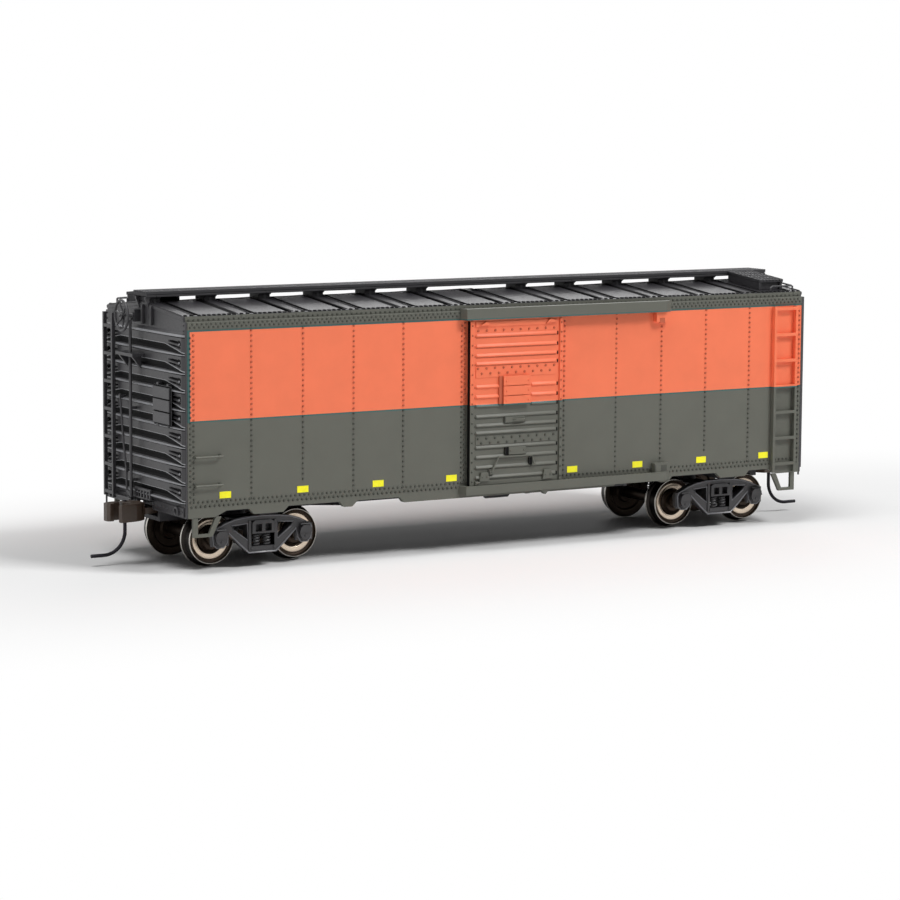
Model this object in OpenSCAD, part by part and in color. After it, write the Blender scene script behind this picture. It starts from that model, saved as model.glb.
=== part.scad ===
// HO scale (1:87.1) model of a 40 ft steel boxcar with sliding doors.
// +X runs to the plain end, -X to the brake end, -Y is the right side.
// The origin is under the middle of the car, level with the wheel flanges.
// Heights named *_h are above the tops of the trucks, which the body rests on.

/* [Car body] */
// Length over the end panels
body_l = 143; // [132:1:160]
// Width over the side panels
body_w = 35; // [33:0.5:38]
// Thickness of a side panel
side_t = 1.2; // [0.9:0.1:1.5]
// Thickness of an end panel
end_t = 1.2; // [0.9:0.1:1.5]
// Radius of the rounded vertical corners
corner_r = 0.35; // [0.2:0.05:0.35]
// Height of the side panels' top edge
side_top_h = 39.1; // [34:0.1:46]
// Height of the deep parts of the side sill
sill_h = 2.3; // [1.8:0.1:2.6]
// Rise of the sill between its deep parts
sill_rise = 1.1; // [0.4:0.1:1.4]
// Height of the load floor
floor_top_h = 6.2; // [5.8:0.1:7]
// Thickness of the load floor
floor_t = 0.7; // [0.5:0.1:0.9]

/* [Roof] */
// Height of the roof's vertical edge
roof_edge = 1.1; // [0.8:0.1:1.6]
// Rise of the roof from its edge to its ridge
roof_rise = 1.7; // [1:0.1:2.6]
// Step from the side panel's face in to the roof's edge
roof_inset = 0.7; // [0.4:0.1:0.9]
// Thickness of the roof sheet
roof_t = 1; // [0.8:0.1:1.2]
// Number of roof panels between seams
roof_panels = 12; // [8:1:16]
// Height of the seam ribs
seam_rise = 0.3; // [0.2:0.1:0.5]
// Width of the running board
board_w = 6; // [5:0.2:7]
// Thickness of its planks
board_t = 1.1; // [0.8:0.1:1.4]
// Gap from the roof's ridge to the underside of the running board
board_gap = 0.9; // [0.6:0.1:1.4]
// Overhang of the running board past the end panels
board_overhang = 0.9; // [0.3:0.1:1.5]

/* [Ends] */
// Number of main ribs on an end panel
end_ribs = 10; // [6:1:12]
// How far they stand out
end_rib_out = 0.8; // [0.4:0.1:1]
// Height of a main rib
end_rib_h = 1.9; // [1:0.1:2.2]

/* [Doors] */
// Width of a door
door_w = 21.4; // [18:0.2:26]
// Distance from the car's middle to the door's middle, toward its open end
door_shift = 0.35; // [0:0.05:1]
// Thickness of the door plate
door_t = 0.8; // [0.6:0.1:1]
// Running gap between door and side panel, and round its tongues
door_gap = 0.15; // [0.1:0.05:0.25]
// How far the ribs stand out from the door plate
door_rib_out = 0.35; // [0.2:0.05:0.4]
// Overlap of the door past each edge of the doorway
door_lap = 0.8; // [0.5:0.1:1.5]
// Travel of the door from shut to its stop
door_travel = 22.4; // [18:0.2:26]
// How far the door tracks stand out from the side panel
track_out = 1.9; // [1.8:0.1:2.4]
// Thickness of the track walls
track_t = 0.6; // [0.5:0.1:0.7]

/* [Trucks] */
// Distance between the truck pivots
truck_centres = 107; // [98:1:116]
// Distance between the axles of a truck
wheelbase = 18; // [17:0.2:20]
// Tread diameter of the wheels
tread_d = 9.6; // [9:0.1:10]
// Depth of the wheel flange
flange_d = 0.64; // [0.4:0.02:0.7]
// Width of a wheel
wheel_w = 2.8; // [2.2:0.1:2.9]
// Distance between the backs of a wheel pair
back_to_back = 14.5; // [14.3:0.05:14.7]
// Diameter of the axle
axle_d = 2.4; // [1.6:0.1:2.8]
// Length of the axle over its needle points
axle_l = 25.4; // [25:0.1:26]
// Thickness of a truck side frame
frame_t = 1.9; // [1.5:0.1:2.1]
// Diameter of the truck screw
screw_d = 2.2; // [1.6:0.1:2.6]
// Diametral clearance of the truck on its screw
swivel_gap = 0.3; // [0.1:0.05:0.5]

/* [Couplers] */
// Height of the coupler's centre
coupler_h = 1.85; // [1.6:0.05:2]
// Thickness of the coupler shank
shank_t = 1.2; // [1:0.1:1.4]
// Height of the coupler head
head_t = 3.4; // [2.8:0.1:3.6]
// Distance of the shank's pivot in from the end panel's face
pivot_in = 5; // [4.6:0.2:6]
// Distance of the knuckle pin out from the end panel's face
knuckle_out = 3.5; // [3.4:0.1:5]
// Diameter of the trip pin, which is also the knuckle's hinge pin
pin_d = 0.7; // [0.5:0.05:0.8]
// Radius of the bend in the trip pin
pin_bend = 4.4; // [3.6:0.1:4.8]
// Length of the trip pin's level tail
pin_tail = 2.7; // [2:0.1:3.6]
// Height of the trip pin's tail above the rail tops
pin_h = 1.4; // [0.8:0.1:1.6]

/* [Ladders, steps and brakes] */
// Width of a side ladder
ladder_w = 6; // [5:0.2:7]
// Width of an end ladder
end_ladder_w = 4.4; // [3.6:0.2:6]
// Distance from a corner to the ladder's outer stile
ladder_inset = 1.9; // [1.2:0.1:3]
// Distance between the rungs
rung_pitch = 5.4; // [4.6:0.1:6]
// Number of rungs
rungs = 7; // [5:1:7]
// Thickness of the ladder bars
bar_t = 0.6; // [0.4:0.05:0.8]
// How far the ladders stand out
ladder_out = 1; // [0.8:0.1:1.2]
// Depth of a sill step below the sill
step_drop = 3.7; // [3:0.1:4]
// Diameter of the brake wheel
brake_wheel_d = 6.3; // [5:0.1:7]
// Sideways place of the brake wheel
brake_y = 3; // [2:0.1:6]

/* [Hidden] */
$fn = 48;
e = 0.01;
rail_z = flange_d;
wheel_z = rail_z + tread_d / 2;
flange_r = tread_d / 2 + flange_d;
seat_z = wheel_z + flange_r - 2.24; // tops of the trucks, a fixed drop below their wheels' tops
sill_z = seat_z + sill_h;
side_top_z = seat_z + side_top_h;
floor_z = seat_z + floor_top_h;
half_l = body_l / 2;
half_w = body_w / 2;
inner_w = body_w - 2 * side_t;
inner_l = body_l - 2 * end_t;
skin_t = 0.4;                      // outer layer of an end panel, lapping the sides
side_l = body_l - 2 * skin_t;
ridge_z = side_top_z + roof_edge + roof_rise;
roof_half = half_w - roof_inset;
slope = roof_rise / roof_half;     // fall of the roof per millimetre of width
board_z = ridge_z + board_gap;

// Under the floor
weight_t = 1.6;
weight_z = floor_z - floor_t - weight_t;
plate_t = 0.8;
plate_z = weight_z - plate_t;
centre_sill_w = 3.6;
centre_sill_z = seat_z + 0.6;
bolster_z = seat_z + 1.9;
bolster_x = truck_centres / 2;

// Trucks
truck_bolster_t = 1.8;
truck_bolster_w = 4.6;
frame_y = 11.9;                    // inner face of a side frame
needle_l = 2.2;
screw_head_t = 0.85;
screw_head_d = 4;

// Doors and their tracks
door_x0 = door_shift - door_w / 2;
door_x1 = door_shift + door_w / 2;
door_face = half_w + door_gap;     // inner face of the door
door_z0 = seat_z + 4.5;
door_z1 = side_top_z - 1.9;
track_z0 = door_z0 - 1.55;         // underside of the lower track
track_top_z = side_top_z + 0.45;   // top of the upper one
stop_gap = 0.2;
stop_x = door_x1 + door_travel + stop_gap;
tongue = 0.8;
doorway_z1 = door_z1 - door_lap;

// Couplers
box_half_w = 3.7;
box_l = 9.4;
box_z0 = seat_z;
cover_t = 0.8;
coupler_z = seat_z + coupler_h;
pivot_x = half_l - pivot_in;
knuckle_x = half_l + knuckle_out;
knuckle_y = -1.9;
pivot_post_d = 2.2;

boss_d = 6;
shank_slot = 3.1;                  // half width of the opening for the coupler shank
shank_top_z = coupler_z + shank_t / 2 + 0.2;
lug_gap = 1.8;                     // height of the slot in the coupler head
cone_r = 1.25;
cone_depth = 1.45;

// Roof seams, side platforms and their grab irons
roof_seam_half = half_l - 1.2;
seam_w = 0.6;
saddle_w = 1.8;
saddle_half_w = 1.5;               // half its width where it meets the roof
lateral_in = 2.9;                  // from the end panel's face to the platform
lateral_l = 6.1;
lateral_t = 0.7;
lateral_reach = half_w - 3.2;
grab_off = 0.9;
grab_d = 0.45;
grab_l = 5.2;
end_ladder_inset = 1.6;
end_ladder_out = 0.7;              // beyond the end panel's ribs
rung_z0 = sill_z + 1.8;            // underside of the lowest rung

// Doors, crossbearers and the brake gear
track_x0 = door_x0 - 1.15;         // start and end of the tracks' front faces
track_x1 = stop_x + 2.15;
track_bevel = [0.6, 2.4];          // how far each bevelled end spreads to the side panel
stop_l = 3.4;
door_rib_scale = 32.7;             // door height that the rib rows are measured on
bearer_x = [-36, -12, 12, 36];
bearer_end_t = 0.7;                // depth of a crossbearer's outer end
brake_z = side_top_z;
brake_out = 3.4;
rod_out = 1.6;
platform_y = 3;
platform_l = 3;
platform_half = 3.8;

// Colours
orange = [0.93, 0.42, 0.26];
olive = [0.37, 0.38, 0.34];
black = [0.16, 0.16, 0.17];
brown = [0.28, 0.19, 0.16];
metal = [0.75, 0.74, 0.72];

// ---- helpers ----

// The same piece on the other side and end of the car
module opposite() { rotate([0, 0, 180]) children(); }

// A box given by its low and high corners
module box(low, high) { translate(low) cube(high - low); }

// An outline drawn in X and Z, as thick as t, with its outer face at y
module upright(y, t) { translate([0, y + t, 0]) rotate([90, 0, 0]) linear_extrude(t) children(); }

// An outline drawn in Y and Z, extruded from x along +X by l
module crosswise(x, l) { translate([x, 0, 0]) rotate([90, 0, 90]) linear_extrude(l) children(); }

// A round bar between two points that differ along one axis only
module bar_x(p, l, d) { translate(p) rotate([0, 90, 0]) cylinder(d = d, h = l); }
module bar_y(p, l, d) { translate(p) rotate([-90, 0, 0]) cylinder(d = d, h = l); }
module bar_z(p, l, d) { translate(p) cylinder(d = d, h = l); }

// ---- sides ----

// Stretches of one half of the sill that are cut up: start and end, measured from the
// truck's pivot, and the outer chamfer
sill_cuts = [[-28, -18.7, 1.2], [-14.7, -3.7, 1.2], [4.7, 9.5, 2.4]];

function sill_cut(c, s) =
    let(z = sill_z + sill_rise, x0 = bolster_x + c[0], x1 = bolster_x + c[1])
    [[s * (x0 - 1), sill_z], [s * x0, z], [s * x1, z], [s * (x1 + c[2]), sill_z]];

function reversed(list) = [for (i = [len(list) - 1:-1:0]) list[i]];

module side_outline() {
    right = [for (c = sill_cuts) each sill_cut(c, 1)];
    left = [for (c = sill_cuts) each sill_cut(c, -1)];
    polygon(concat([[-side_l / 2, side_top_z], [-side_l / 2, sill_z]], reversed(left), right,
                   [[side_l / 2, sill_z], [side_l / 2, side_top_z]]));
}

module side_panel() {
    color(orange) difference() {
        upright(-half_w, side_t) side_outline();
        box([door_x0 + door_lap, -half_w - 1, floor_z],
            [door_x1 - door_lap, -half_w + side_t + 1, doorway_z1]);
    }
}

// ---- ends ----

function gable(half, drop) =
    [[-half, sill_z], [-half, side_top_z], [-roof_half, side_top_z],
     [-roof_half, side_top_z + roof_edge - drop], [0, ridge_z - drop],
     [roof_half, side_top_z + roof_edge - drop], [roof_half, side_top_z],
     [half, side_top_z], [half, sill_z]];

rib_z0 = sill_z + 3.4;
rib_pitch = (side_top_z - 2.2 - rib_z0) / (end_ribs - 1);
rib_half = half_w - 2.6;
dart_l = 4.2;

// One main rib: full in the middle, tapering to nothing at each side
module end_rib(z) {
    translate([0, 0, z - end_rib_h / 2]) linear_extrude(end_rib_h)
        polygon([[half_l - e, -rib_half - 1.6], [half_l + end_rib_out, -rib_half + 3],
                 [half_l + end_rib_out, rib_half - 3], [half_l - e, rib_half + 1.6]]);
}

// A wedge pressed between two ribs beside the corner
module end_dart(z) {
    for (s = [-1, 1])
        crosswise(half_l - e, end_rib_out / 2 + e)
            polygon([[s * (half_w - 1.2), z + 0.35], [s * (half_w - 1.2), z - 0.35],
                     [s * (half_w - 1.2 - dart_l), z]]);
}

// Plan of an end panel's outer layer, with rounded corners
module skin_plan() {
    translate([half_l - skin_t, -half_w + corner_r]) square([skin_t, body_w - 2 * corner_r]);
    translate([half_l - skin_t, -half_w]) square([skin_t - corner_r, body_w]);
    for (s = [-1, 1]) translate([half_l - corner_r, s * (half_w - corner_r)]) circle(corner_r);
}

// The end panel at +X: an outer layer lapping the sides, an inner one between them
module end_panel() {
    color(black) difference() {
        union() {
            intersection() {
                crosswise(half_l - skin_t, skin_t) polygon(gable(half_w, 0.05));
                linear_extrude(2 * side_top_z) skin_plan();
            }
            crosswise(half_l - end_t, end_t - skin_t)
                translate([-inner_w / 2, sill_z + 1]) square([inner_w, side_top_z - sill_z - 1]);
            for (i = [0:end_ribs - 1]) end_rib(rib_z0 + i * rib_pitch);
            for (i = [0:end_ribs - 2]) end_dart(rib_z0 + (i + 0.5) * rib_pitch);
            // End sill flange above the coupler
            box([half_l, -half_w + 3, sill_z + 0.6], [half_l + 0.5, half_w - 3, sill_z + 1.9]);
        }
        // Opening for the coupler shank
        box([half_l - end_t - 1, -shank_slot, 0],
            [half_l + 2, shank_slot, coupler_z + head_t / 2 + 0.25]);
    }
}

// ---- roof ----

module roof_profile(t) {
    polygon([[-roof_half, side_top_z], [-roof_half, side_top_z + roof_edge],
             [0, ridge_z], [roof_half, side_top_z + roof_edge], [roof_half, side_top_z],
             [inner_w / 2 - 0.6, side_top_z], [0, ridge_z - t], [-inner_w / 2 + 0.6, side_top_z]]);
}

module seam_rib(x) {
    crosswise(x - seam_w / 2, seam_w)
        for (s = [-1, 1])
            polygon([[s * roof_half, side_top_z + roof_edge - e], [0, ridge_z - e],
                     [0, ridge_z + seam_rise], [s * (roof_half - 0.4), side_top_z + roof_edge
                      + 0.4 * slope + seam_rise]]);
}

module roof() {
    color(black) {
        crosswise(-side_l / 2, side_l) roof_profile(roof_t);
        for (i = [0:roof_panels])
            seam_rib(-roof_seam_half + i * 2 * roof_seam_half / roof_panels);
    }
}

// ---- running board ----

plank_gap = 0.2;
plank_w = (board_w - 2 * plank_gap) / 3;
board_half_l = half_l + board_overhang;

// A saddle that carries the planks on the ridge of the roof
module saddle(x) {
    crosswise(x - saddle_w / 2, saddle_w)
        polygon([[-saddle_half_w - 0.5, board_z], [-saddle_half_w, board_z - board_gap / 2],
                 [-saddle_half_w, seam_top(saddle_half_w)], [0, ridge_z + seam_rise],
                 [saddle_half_w, seam_top(saddle_half_w)],
                 [saddle_half_w, board_z - board_gap / 2], [saddle_half_w + 0.5, board_z]]);
}

// Height of the seam ribs' tops at a distance from the ridge
function seam_top(y) = ridge_z + seam_rise - y * slope;

// Side platform that slopes down with the roof beside the ladder at +X, -Y
module lateral() {
    x0 = half_l - lateral_in - lateral_l;
    for (i = [0:2]) {
        w = (lateral_l - 2 * plank_gap) / 3;
        crosswise(x0 + i * (w + plank_gap), w)
            polygon([[-lateral_reach, lateral_top(lateral_reach) - lateral_t],
                     [-lateral_reach, lateral_top(lateral_reach)],
                     [-board_w / 2, lateral_top(board_w / 2)],
                     [-board_w / 2, lateral_top(board_w / 2) - lateral_t]]);
    }
    // Cleats between the planks and the roof
    for (x = [x0 + 0.3, x0 + lateral_l - 0.9])
        crosswise(x, 0.6)
            polygon([[-lateral_reach + 1, lateral_top(lateral_reach - 1) - lateral_t],
                     [-lateral_reach + 1, seam_top(lateral_reach - 1)],
                     [-board_w / 2, seam_top(board_w / 2)],
                     [-board_w / 2, lateral_top(board_w / 2) - lateral_t]]);
}

function lateral_top(y) = board_z + board_t - 0.1 - (y - board_w / 2) * slope;

module running_board() {
    color(black) {
        for (i = [-1:1])
            box([-board_half_l, i * (plank_w + plank_gap) - plank_w / 2, board_z],
                [board_half_l, i * (plank_w + plank_gap) + plank_w / 2, board_z + board_t]);
        for (i = [0:roof_panels])
            if (2 * i != roof_panels)
                saddle(-roof_seam_half + i * 2 * roof_seam_half / roof_panels);
        lateral();
        opposite() lateral();
    }
}

// Grab irons beside the side platforms, bent over the roof's edge
module roof_grab() {
    z = side_top_z + roof_edge + grab_off;
    x = half_l - 2.4;
    bar_y([x, -roof_half + 0.6, z + 0.4 * slope], 3.6, grab_d);
    bar_z([x, -roof_half + 0.8, side_top_z + roof_edge + slope], grab_off, grab_d);
    bar_z([x, -roof_half + 4, side_top_z + roof_edge + 4 * slope], grab_off - 3 * slope, grab_d);
}

module roof_grabs() {
    color(black) {
        roof_grab();
        opposite() roof_grab();
    }
}

// ---- floor and underframe ----

module floor_plate() {
    color([0.55, 0.42, 0.28])
        box([-inner_l / 2, -inner_w / 2, floor_z - floor_t], [inner_l / 2, inner_w / 2, floor_z]);
}

module steel_weight() {
    color([0.5, 0.5, 0.52]) difference() {
        box([-inner_l / 2 + 1, -inner_w / 2 + 1, weight_z],
            [inner_l / 2 - 1, inner_w / 2 - 1, weight_z + weight_t]);
        for (s = [-1, 1]) bar_z([s * bolster_x, 0, weight_z - 1], weight_t + 2, 5);
    }
}

module underframe() {
    color(black) difference() {
        box([-inner_l / 2, -inner_w / 2, plate_z], [inner_l / 2, inner_w / 2, weight_z]);
        for (s = [-1, 1]) bar_z([s * bolster_x, 0, plate_z - 1], plate_t + 2, screw_d);
    }
}

// Box for a coupler's shank, open outward and downward
module coupler_box() {
    x0 = half_l - end_t - box_l;
    difference() {
        box([x0, -box_half_w, box_z0 + cover_t], [half_l - end_t, box_half_w, plate_z]);
        box([x0 + 1, -box_half_w + 0.8, box_z0], [half_l, box_half_w - 0.8, shank_top_z]);
    }
    bar_z([pivot_x, 0, box_z0 + cover_t], plate_z - box_z0 - cover_t, pivot_post_d);
}

module centre_sill() {
    color(black) {
        for (s = [-1, 1]) rotate([0, 0, s > 0 ? 0 : 180]) {
            coupler_box();
            // Sill from the crossbearers to the bolster, then on to the coupler box
            box([0, -centre_sill_w / 2, centre_sill_z],
                [bolster_x - boss_d / 2, centre_sill_w / 2, plate_z]);
            box([bolster_x + boss_d / 2, -centre_sill_w / 2, centre_sill_z],
                [half_l - end_t - box_l, centre_sill_w / 2, plate_z]);
        }
    }
}

module coupler_cover() {
    x0 = half_l - end_t - box_l;
    color(black) {
        box([x0, -box_half_w, box_z0], [half_l - end_t, box_half_w, box_z0 + cover_t]);
        bar_z([x0 + 1.6, 0, box_z0 - 0.4], 0.4, 1.8);
    }
}

// Body bolster at +X: a cross beam with a round boss that rests on the truck
module body_bolster() {
    color(black) difference() {
        union() {
            box([bolster_x - 2, -inner_w / 2, bolster_z], [bolster_x + 2, inner_w / 2, plate_z]);
            bar_z([bolster_x, 0, seat_z], plate_z - seat_z, boss_d);
        }
        bar_z([bolster_x, 0, seat_z - 1], plate_z - seat_z + 2, screw_d);
    }
}

module crossbearers() {
    color(black)
        for (x = bearer_x, s = [-1, 1])
            crosswise(x - 0.6, 1.2)
                polygon([[s * centre_sill_w / 2, centre_sill_z], [s * centre_sill_w / 2, plate_z],
                         [s * inner_w / 2, plate_z], [s * inner_w / 2, plate_z - bearer_end_t]]);
}

module truck_screw() {
    head_z = seat_z - truck_bolster_t - screw_head_t;
    color(metal) difference() {
        union() {
            bar_z([bolster_x, 0, head_z], screw_head_t, screw_head_d);
            bar_z([bolster_x, 0, head_z], weight_z - head_z, screw_d);
        }
        box([bolster_x - 1.5, -0.25, head_z - 1], [bolster_x + 1.5, 0.25, head_z + 0.4]);
    }
}

// ---- brake gear below the floor ----

module air_reservoir() {
    color(black) {
        bar_y([-9, 4.2, plate_z - 1.7], 7.6, 3);
        for (y = [5.2, 10]) box([-9.6, y, plate_z - 0.6], [-8.4, y + 0.8, plate_z]);
    }
}

module brake_cylinder() {
    color(black) {
        bar_x([0.5, -7, plate_z - 1.6], 5, 2.8);
        bar_x([5.5, -7, plate_z - 1.6], 3, 0.8);
        box([1.5, -7.5, plate_z - 0.6], [4.5, -6.5, plate_z]);
    }
}

module control_valve() {
    color(black) {
        box([-21, 6, plate_z - 0.8], [-17, 9, plate_z]);
        bar_z([-20, 7.5, plate_z - 2.6], 2, 2.2);
        bar_z([-18, 7.5, plate_z - 2], 1.4, 1.4);
    }
}

// Depth of a crossbearer below the underframe at a distance from the car's middle
function bearer_depth(y) =
    plate_z - centre_sill_z - (y - centre_sill_w / 2) * (plate_z - centre_sill_z - bearer_end_t)
    / (inner_w / 2 - centre_sill_w / 2);

// Levers and a rod that lead from the brake cylinder, below the crossbearers
module brake_levers() {
    y = -9;
    z = plate_z - bearer_depth(-y) - 0.35;
    color(black) {
        box([8.5, y - 0.5, z - 0.3], [9.5, -3, z + 0.3]);
        bar_z([9, -3.6, z], plate_z - z, 0.8);
        bar_x([9.4, y, z], 23.4, 0.6);
        box([32.4, y - 0.4, z - 0.3], [33.2, y + 0.4, plate_z]);
    }
}

// ---- ladders, grabs and steps ----

// A ladder in the plane y = 0 that stands out toward -Y, with its stiles' feet at z0 and
// their heads a little above the last rung
module ladder_bars(w, out, z0, rung_z, head) {
    z1 = rung_z + (rungs - 1) * rung_pitch + bar_t + head;
    for (x = [0, w - bar_t]) box([x, -out, z0], [x + bar_t, 0, z1]);
    for (i = [0:rungs - 1])
        box([bar_t - e, -out, rung_z + i * rung_pitch],
            [w - bar_t + e, -out + bar_t, rung_z + bar_t + i * rung_pitch]);
}

module side_ladder() {
    color(orange) translate([half_l - ladder_inset - ladder_w, -half_w, 0])
        ladder_bars(ladder_w, ladder_out, sill_z + 0.3, rung_z0, 0.2);
}

// The end ladder stands at the corner it shares with a side ladder
module end_ladder() {
    color(black) translate([half_l + end_rib_out, -half_w + end_ladder_inset, 0])
        rotate([0, 0, 90])
            ladder_bars(end_ladder_w, end_ladder_out, sill_z + 0.7, rung_z0 - 0.5, 2.3);
}

module grab(x, z) {
    for (dx = [0, grab_l]) bar_y([x + dx, -half_w - grab_off, z], grab_off, grab_d);
    bar_x([x - grab_d / 2, -half_w - grab_off, z], grab_l + grab_d, grab_d);
}

module side_grabs() {
    color(olive)
        for (i = [1, 2]) grab(-half_l + ladder_inset, rung_z0 - 1.1 + i * rung_pitch);
}

// Strap step below the corner at +X, -Y
module sill_step() {
    x1 = half_l - 1.5;
    color(olive) upright(-half_w, 0.6) difference() {
        polygon([[x1, sill_z], [x1, sill_z - step_drop], [x1 - 4, sill_z - step_drop],
                 [x1 - 5.9, sill_z]]);
        polygon([[x1 - 1, sill_z + 1], [x1 - 1, sill_z - step_drop + 0.6],
                 [x1 - 3.3, sill_z - step_drop + 0.6], [x1 - 5.2, sill_z + 1]]);
    }
}

// ---- doors ----

// A track between two heights: bevelled ends, and a channel for the door's tongue
module track(z0, z1, channel_z0, channel_z1) {
    y = -half_w - track_out;
    difference() {
        translate([0, 0, z0]) linear_extrude(z1 - z0)
            polygon([[track_x0 - track_bevel[0], -half_w], [track_x0, y],
                     [track_x1, y], [track_x1 + track_bevel[1], -half_w]]);
        box([track_x0 + 0.7, y + track_t, channel_z0], [stop_x, -half_w + 1, channel_z1]);
    }
}

// The block that the open door comes to rest against
module door_stop(z0, z1) {
    box([stop_x, -half_w - track_out + track_t, z0], [stop_x + stop_l, -half_w, z1]);
}

module upper_track() {
    z0 = door_z1 + 0.15;
    color(olive) {
        track(z0, track_top_z, z0 - 1, track_top_z - track_t);
        door_stop(z0 - 2, z0 + e);
    }
}

module lower_track() {
    z1 = door_z0 + 0.18;
    color(olive) {
        track(track_z0, z1, track_z0 + track_t, z1 + 1);
        door_stop(z1 - e, z1 + 1.8);
    }
}

rib_rows = [1.2, 2.2, 3.9, 5.7, 6.9, 9.6, 11.6, 13.5, 14.9, 17.3, 19.1, 21, 23.3, 25.2, 27.1, 29.1];

module door() {
    y = -door_face - door_t;
    h = door_z1 - door_z0;
    color(orange) {
        box([door_x0, y, door_z0], [door_x1, -door_face, door_z1]);
        // Tongues that run in the tracks
        box([door_x0 + 0.6, y, door_z0 - tongue], [door_x1 - 0.6, -door_face, door_z0 + e]);
        box([door_x0 + 0.6, y, door_z1 - e], [door_x1 - 0.6, -door_face, door_z1 + tongue]);
        // Edge posts, horizontal ribs and the panel joints' straps
        for (x = [door_x0, door_x1 - 0.9])
            box([x, y - door_rib_out, door_z0 + 0.4], [x + 0.9, y + e, door_z1 - 0.4]);
        for (r = rib_rows)
            box([door_x0 + 1.2, y - door_rib_out, door_z0 + r * h / door_rib_scale],
                [door_x1 - 1.2, y + e, door_z0 + 0.8 + r * h / door_rib_scale]);
    }
}

// ---- brake gear on the end ----

module brake_wheel() {
    x = -half_l - brake_out;
    color(black) translate([x, brake_y, brake_z]) rotate([0, -90, 0]) {
        rotate_extrude() translate([brake_wheel_d / 2 - 0.3, 0]) circle(0.3, $fn = 24);
        cylinder(d = 1.4, h = 0.7, center = true);
        for (a = [0:72:288]) rotate([0, 0, a])
            translate([0.5, -0.2, -0.2]) cube([brake_wheel_d / 2 - 0.8, 0.4, 0.4]);
    }
}

// Gear housing that carries the wheel's shaft
module brake_housing() {
    color(black) {
        box([-half_l - 1.2, brake_y - 1.1, brake_z - 1.2],
            [-half_l, brake_y + 1.1, brake_z + 1.1]);
        bar_x([-half_l - brake_out + 0.35, brake_y, brake_z], brake_out - 1.2 - 0.35, 0.9);
    }
}

// Rod from the housing down to the sill
module brake_rod() {
    color(black) {
        bar_z([-half_l - rod_out, brake_y, sill_z + 1.9], brake_z - 0.9 - sill_z - 1.9, 0.6);
        box([-half_l - rod_out, brake_y - 0.3, brake_z - 0.9],
            [-half_l - 1.2, brake_y + 0.3, brake_z - 0.5]);
        // Brackets that hold the rod's foot, between two ribs
        for (i = [0.5, 4.5])
            box([-half_l - rod_out, brake_y - 0.3, rib_z0 + i * rib_pitch - 0.25],
                [-half_l, brake_y + 0.3, rib_z0 + i * rib_pitch + 0.25]);
    }
}

module brake_platform() {
    z = rib_z0 + (end_ribs - 2.5) * rib_pitch - 0.3;
    color(black) {
        difference() {
            box([-half_l - platform_l, platform_y - platform_half, z],
                [-half_l, platform_y + platform_half, z + 0.6]);
            for (dx = [1.1, 2.1])
                box([-half_l - dx - 0.15, platform_y - platform_half + 0.4, z - 1],
                    [-half_l - dx + 0.15, platform_y + platform_half - 0.4, z + 2]);
            // Notch round the brake rod
            box([-half_l - rod_out - 0.45, brake_y - 0.45, z - 1],
                [-half_l - rod_out + 0.45, brake_y + 0.45, z + 2]);
        }
        for (y = [platform_y - platform_half + 0.6, platform_y + platform_half - 1.2])
            upright(y, 0.6)
                polygon([[-half_l - end_rib_out, z], [-half_l - platform_l + 0.3, z],
                         [-half_l - end_rib_out, z - 2.4]]);
    }
}

// ---- trucks ----

journal_x = wheelbase / 2;

// Half of the side frame's edge, from the middle of its top to the middle of its bottom
frame_edge = [[0, seat_z + 1.4], [5, seat_z + 1.2], [journal_x - 1.9, wheel_z + 2.4],
              [journal_x + 1.9, wheel_z + 2.4], [journal_x + 2.2, wheel_z + 1.6],
              [journal_x + 2.2, wheel_z - 1.4], [journal_x + 1.6, wheel_z - 1.9],
              [journal_x - 1.6, wheel_z - 1.9], [journal_x - 2.4, wheel_z - 0.6],
              [3.4, seat_z - 5.3], [0, seat_z - 5.3]];

// Outline of a cast side frame, seen from the side of the car
module frame_outline() {
    difference() {
        polygon(concat([for (p = frame_edge) p], [for (p = reversed(frame_edge)) [-p[0], p[1]]]));
        for (s = [-1, 1]) scale([s, 1])
            polygon([[3.5, seat_z - 3.8], [3.5, seat_z - 0.1], [journal_x - 2.2, wheel_z + 1.3],
                     [journal_x - 2.2, wheel_z + 0.4], [5, seat_z - 3.8]]);
        translate([-2.5, seat_z - 4.4]) square([5, 4.4]);
    }
}

module side_frame() {
    y = frame_y;
    difference() {
        union() {
            upright(-y - frame_t, frame_t) frame_outline();
            // Journal boxes with their lids
            for (s = [-1, 1]) {
                box([s * journal_x - 1.6, -y - frame_t - 0.6, wheel_z - 1.4],
                    [s * journal_x + 1.6, -y - frame_t + e, wheel_z + 1.6]);
            }
            // Spring group under the bolster's end
            for (x = [-1.5, 0, 1.5])
                bar_z([x, -y - frame_t / 2, seat_z - 4.4 - e], 4.4 - truck_bolster_t + 2 * e, 1.3);
        }
        // Bearing cones for the needle points of the axles
        for (s = [-1, 1])
            translate([s * journal_x, -y + e, wheel_z]) rotate([90, 0, 0])
                cylinder(r1 = cone_r, r2 = 0.2, h = cone_depth);
    }
}

module truck() {
    color(black) difference() {
        union() {
            for (a = [0, 180]) rotate([0, 0, a]) side_frame();
            // Bolster, passing through the windows of both side frames
            box([-truck_bolster_w / 2, -frame_y - frame_t - 0.3, seat_z - truck_bolster_t],
                [truck_bolster_w / 2, frame_y + frame_t + 0.3, seat_z - 0.1]);
        }
        bar_z([0, 0, seat_z - 4], 8, screw_d + swivel_gap);
    }
}

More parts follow.
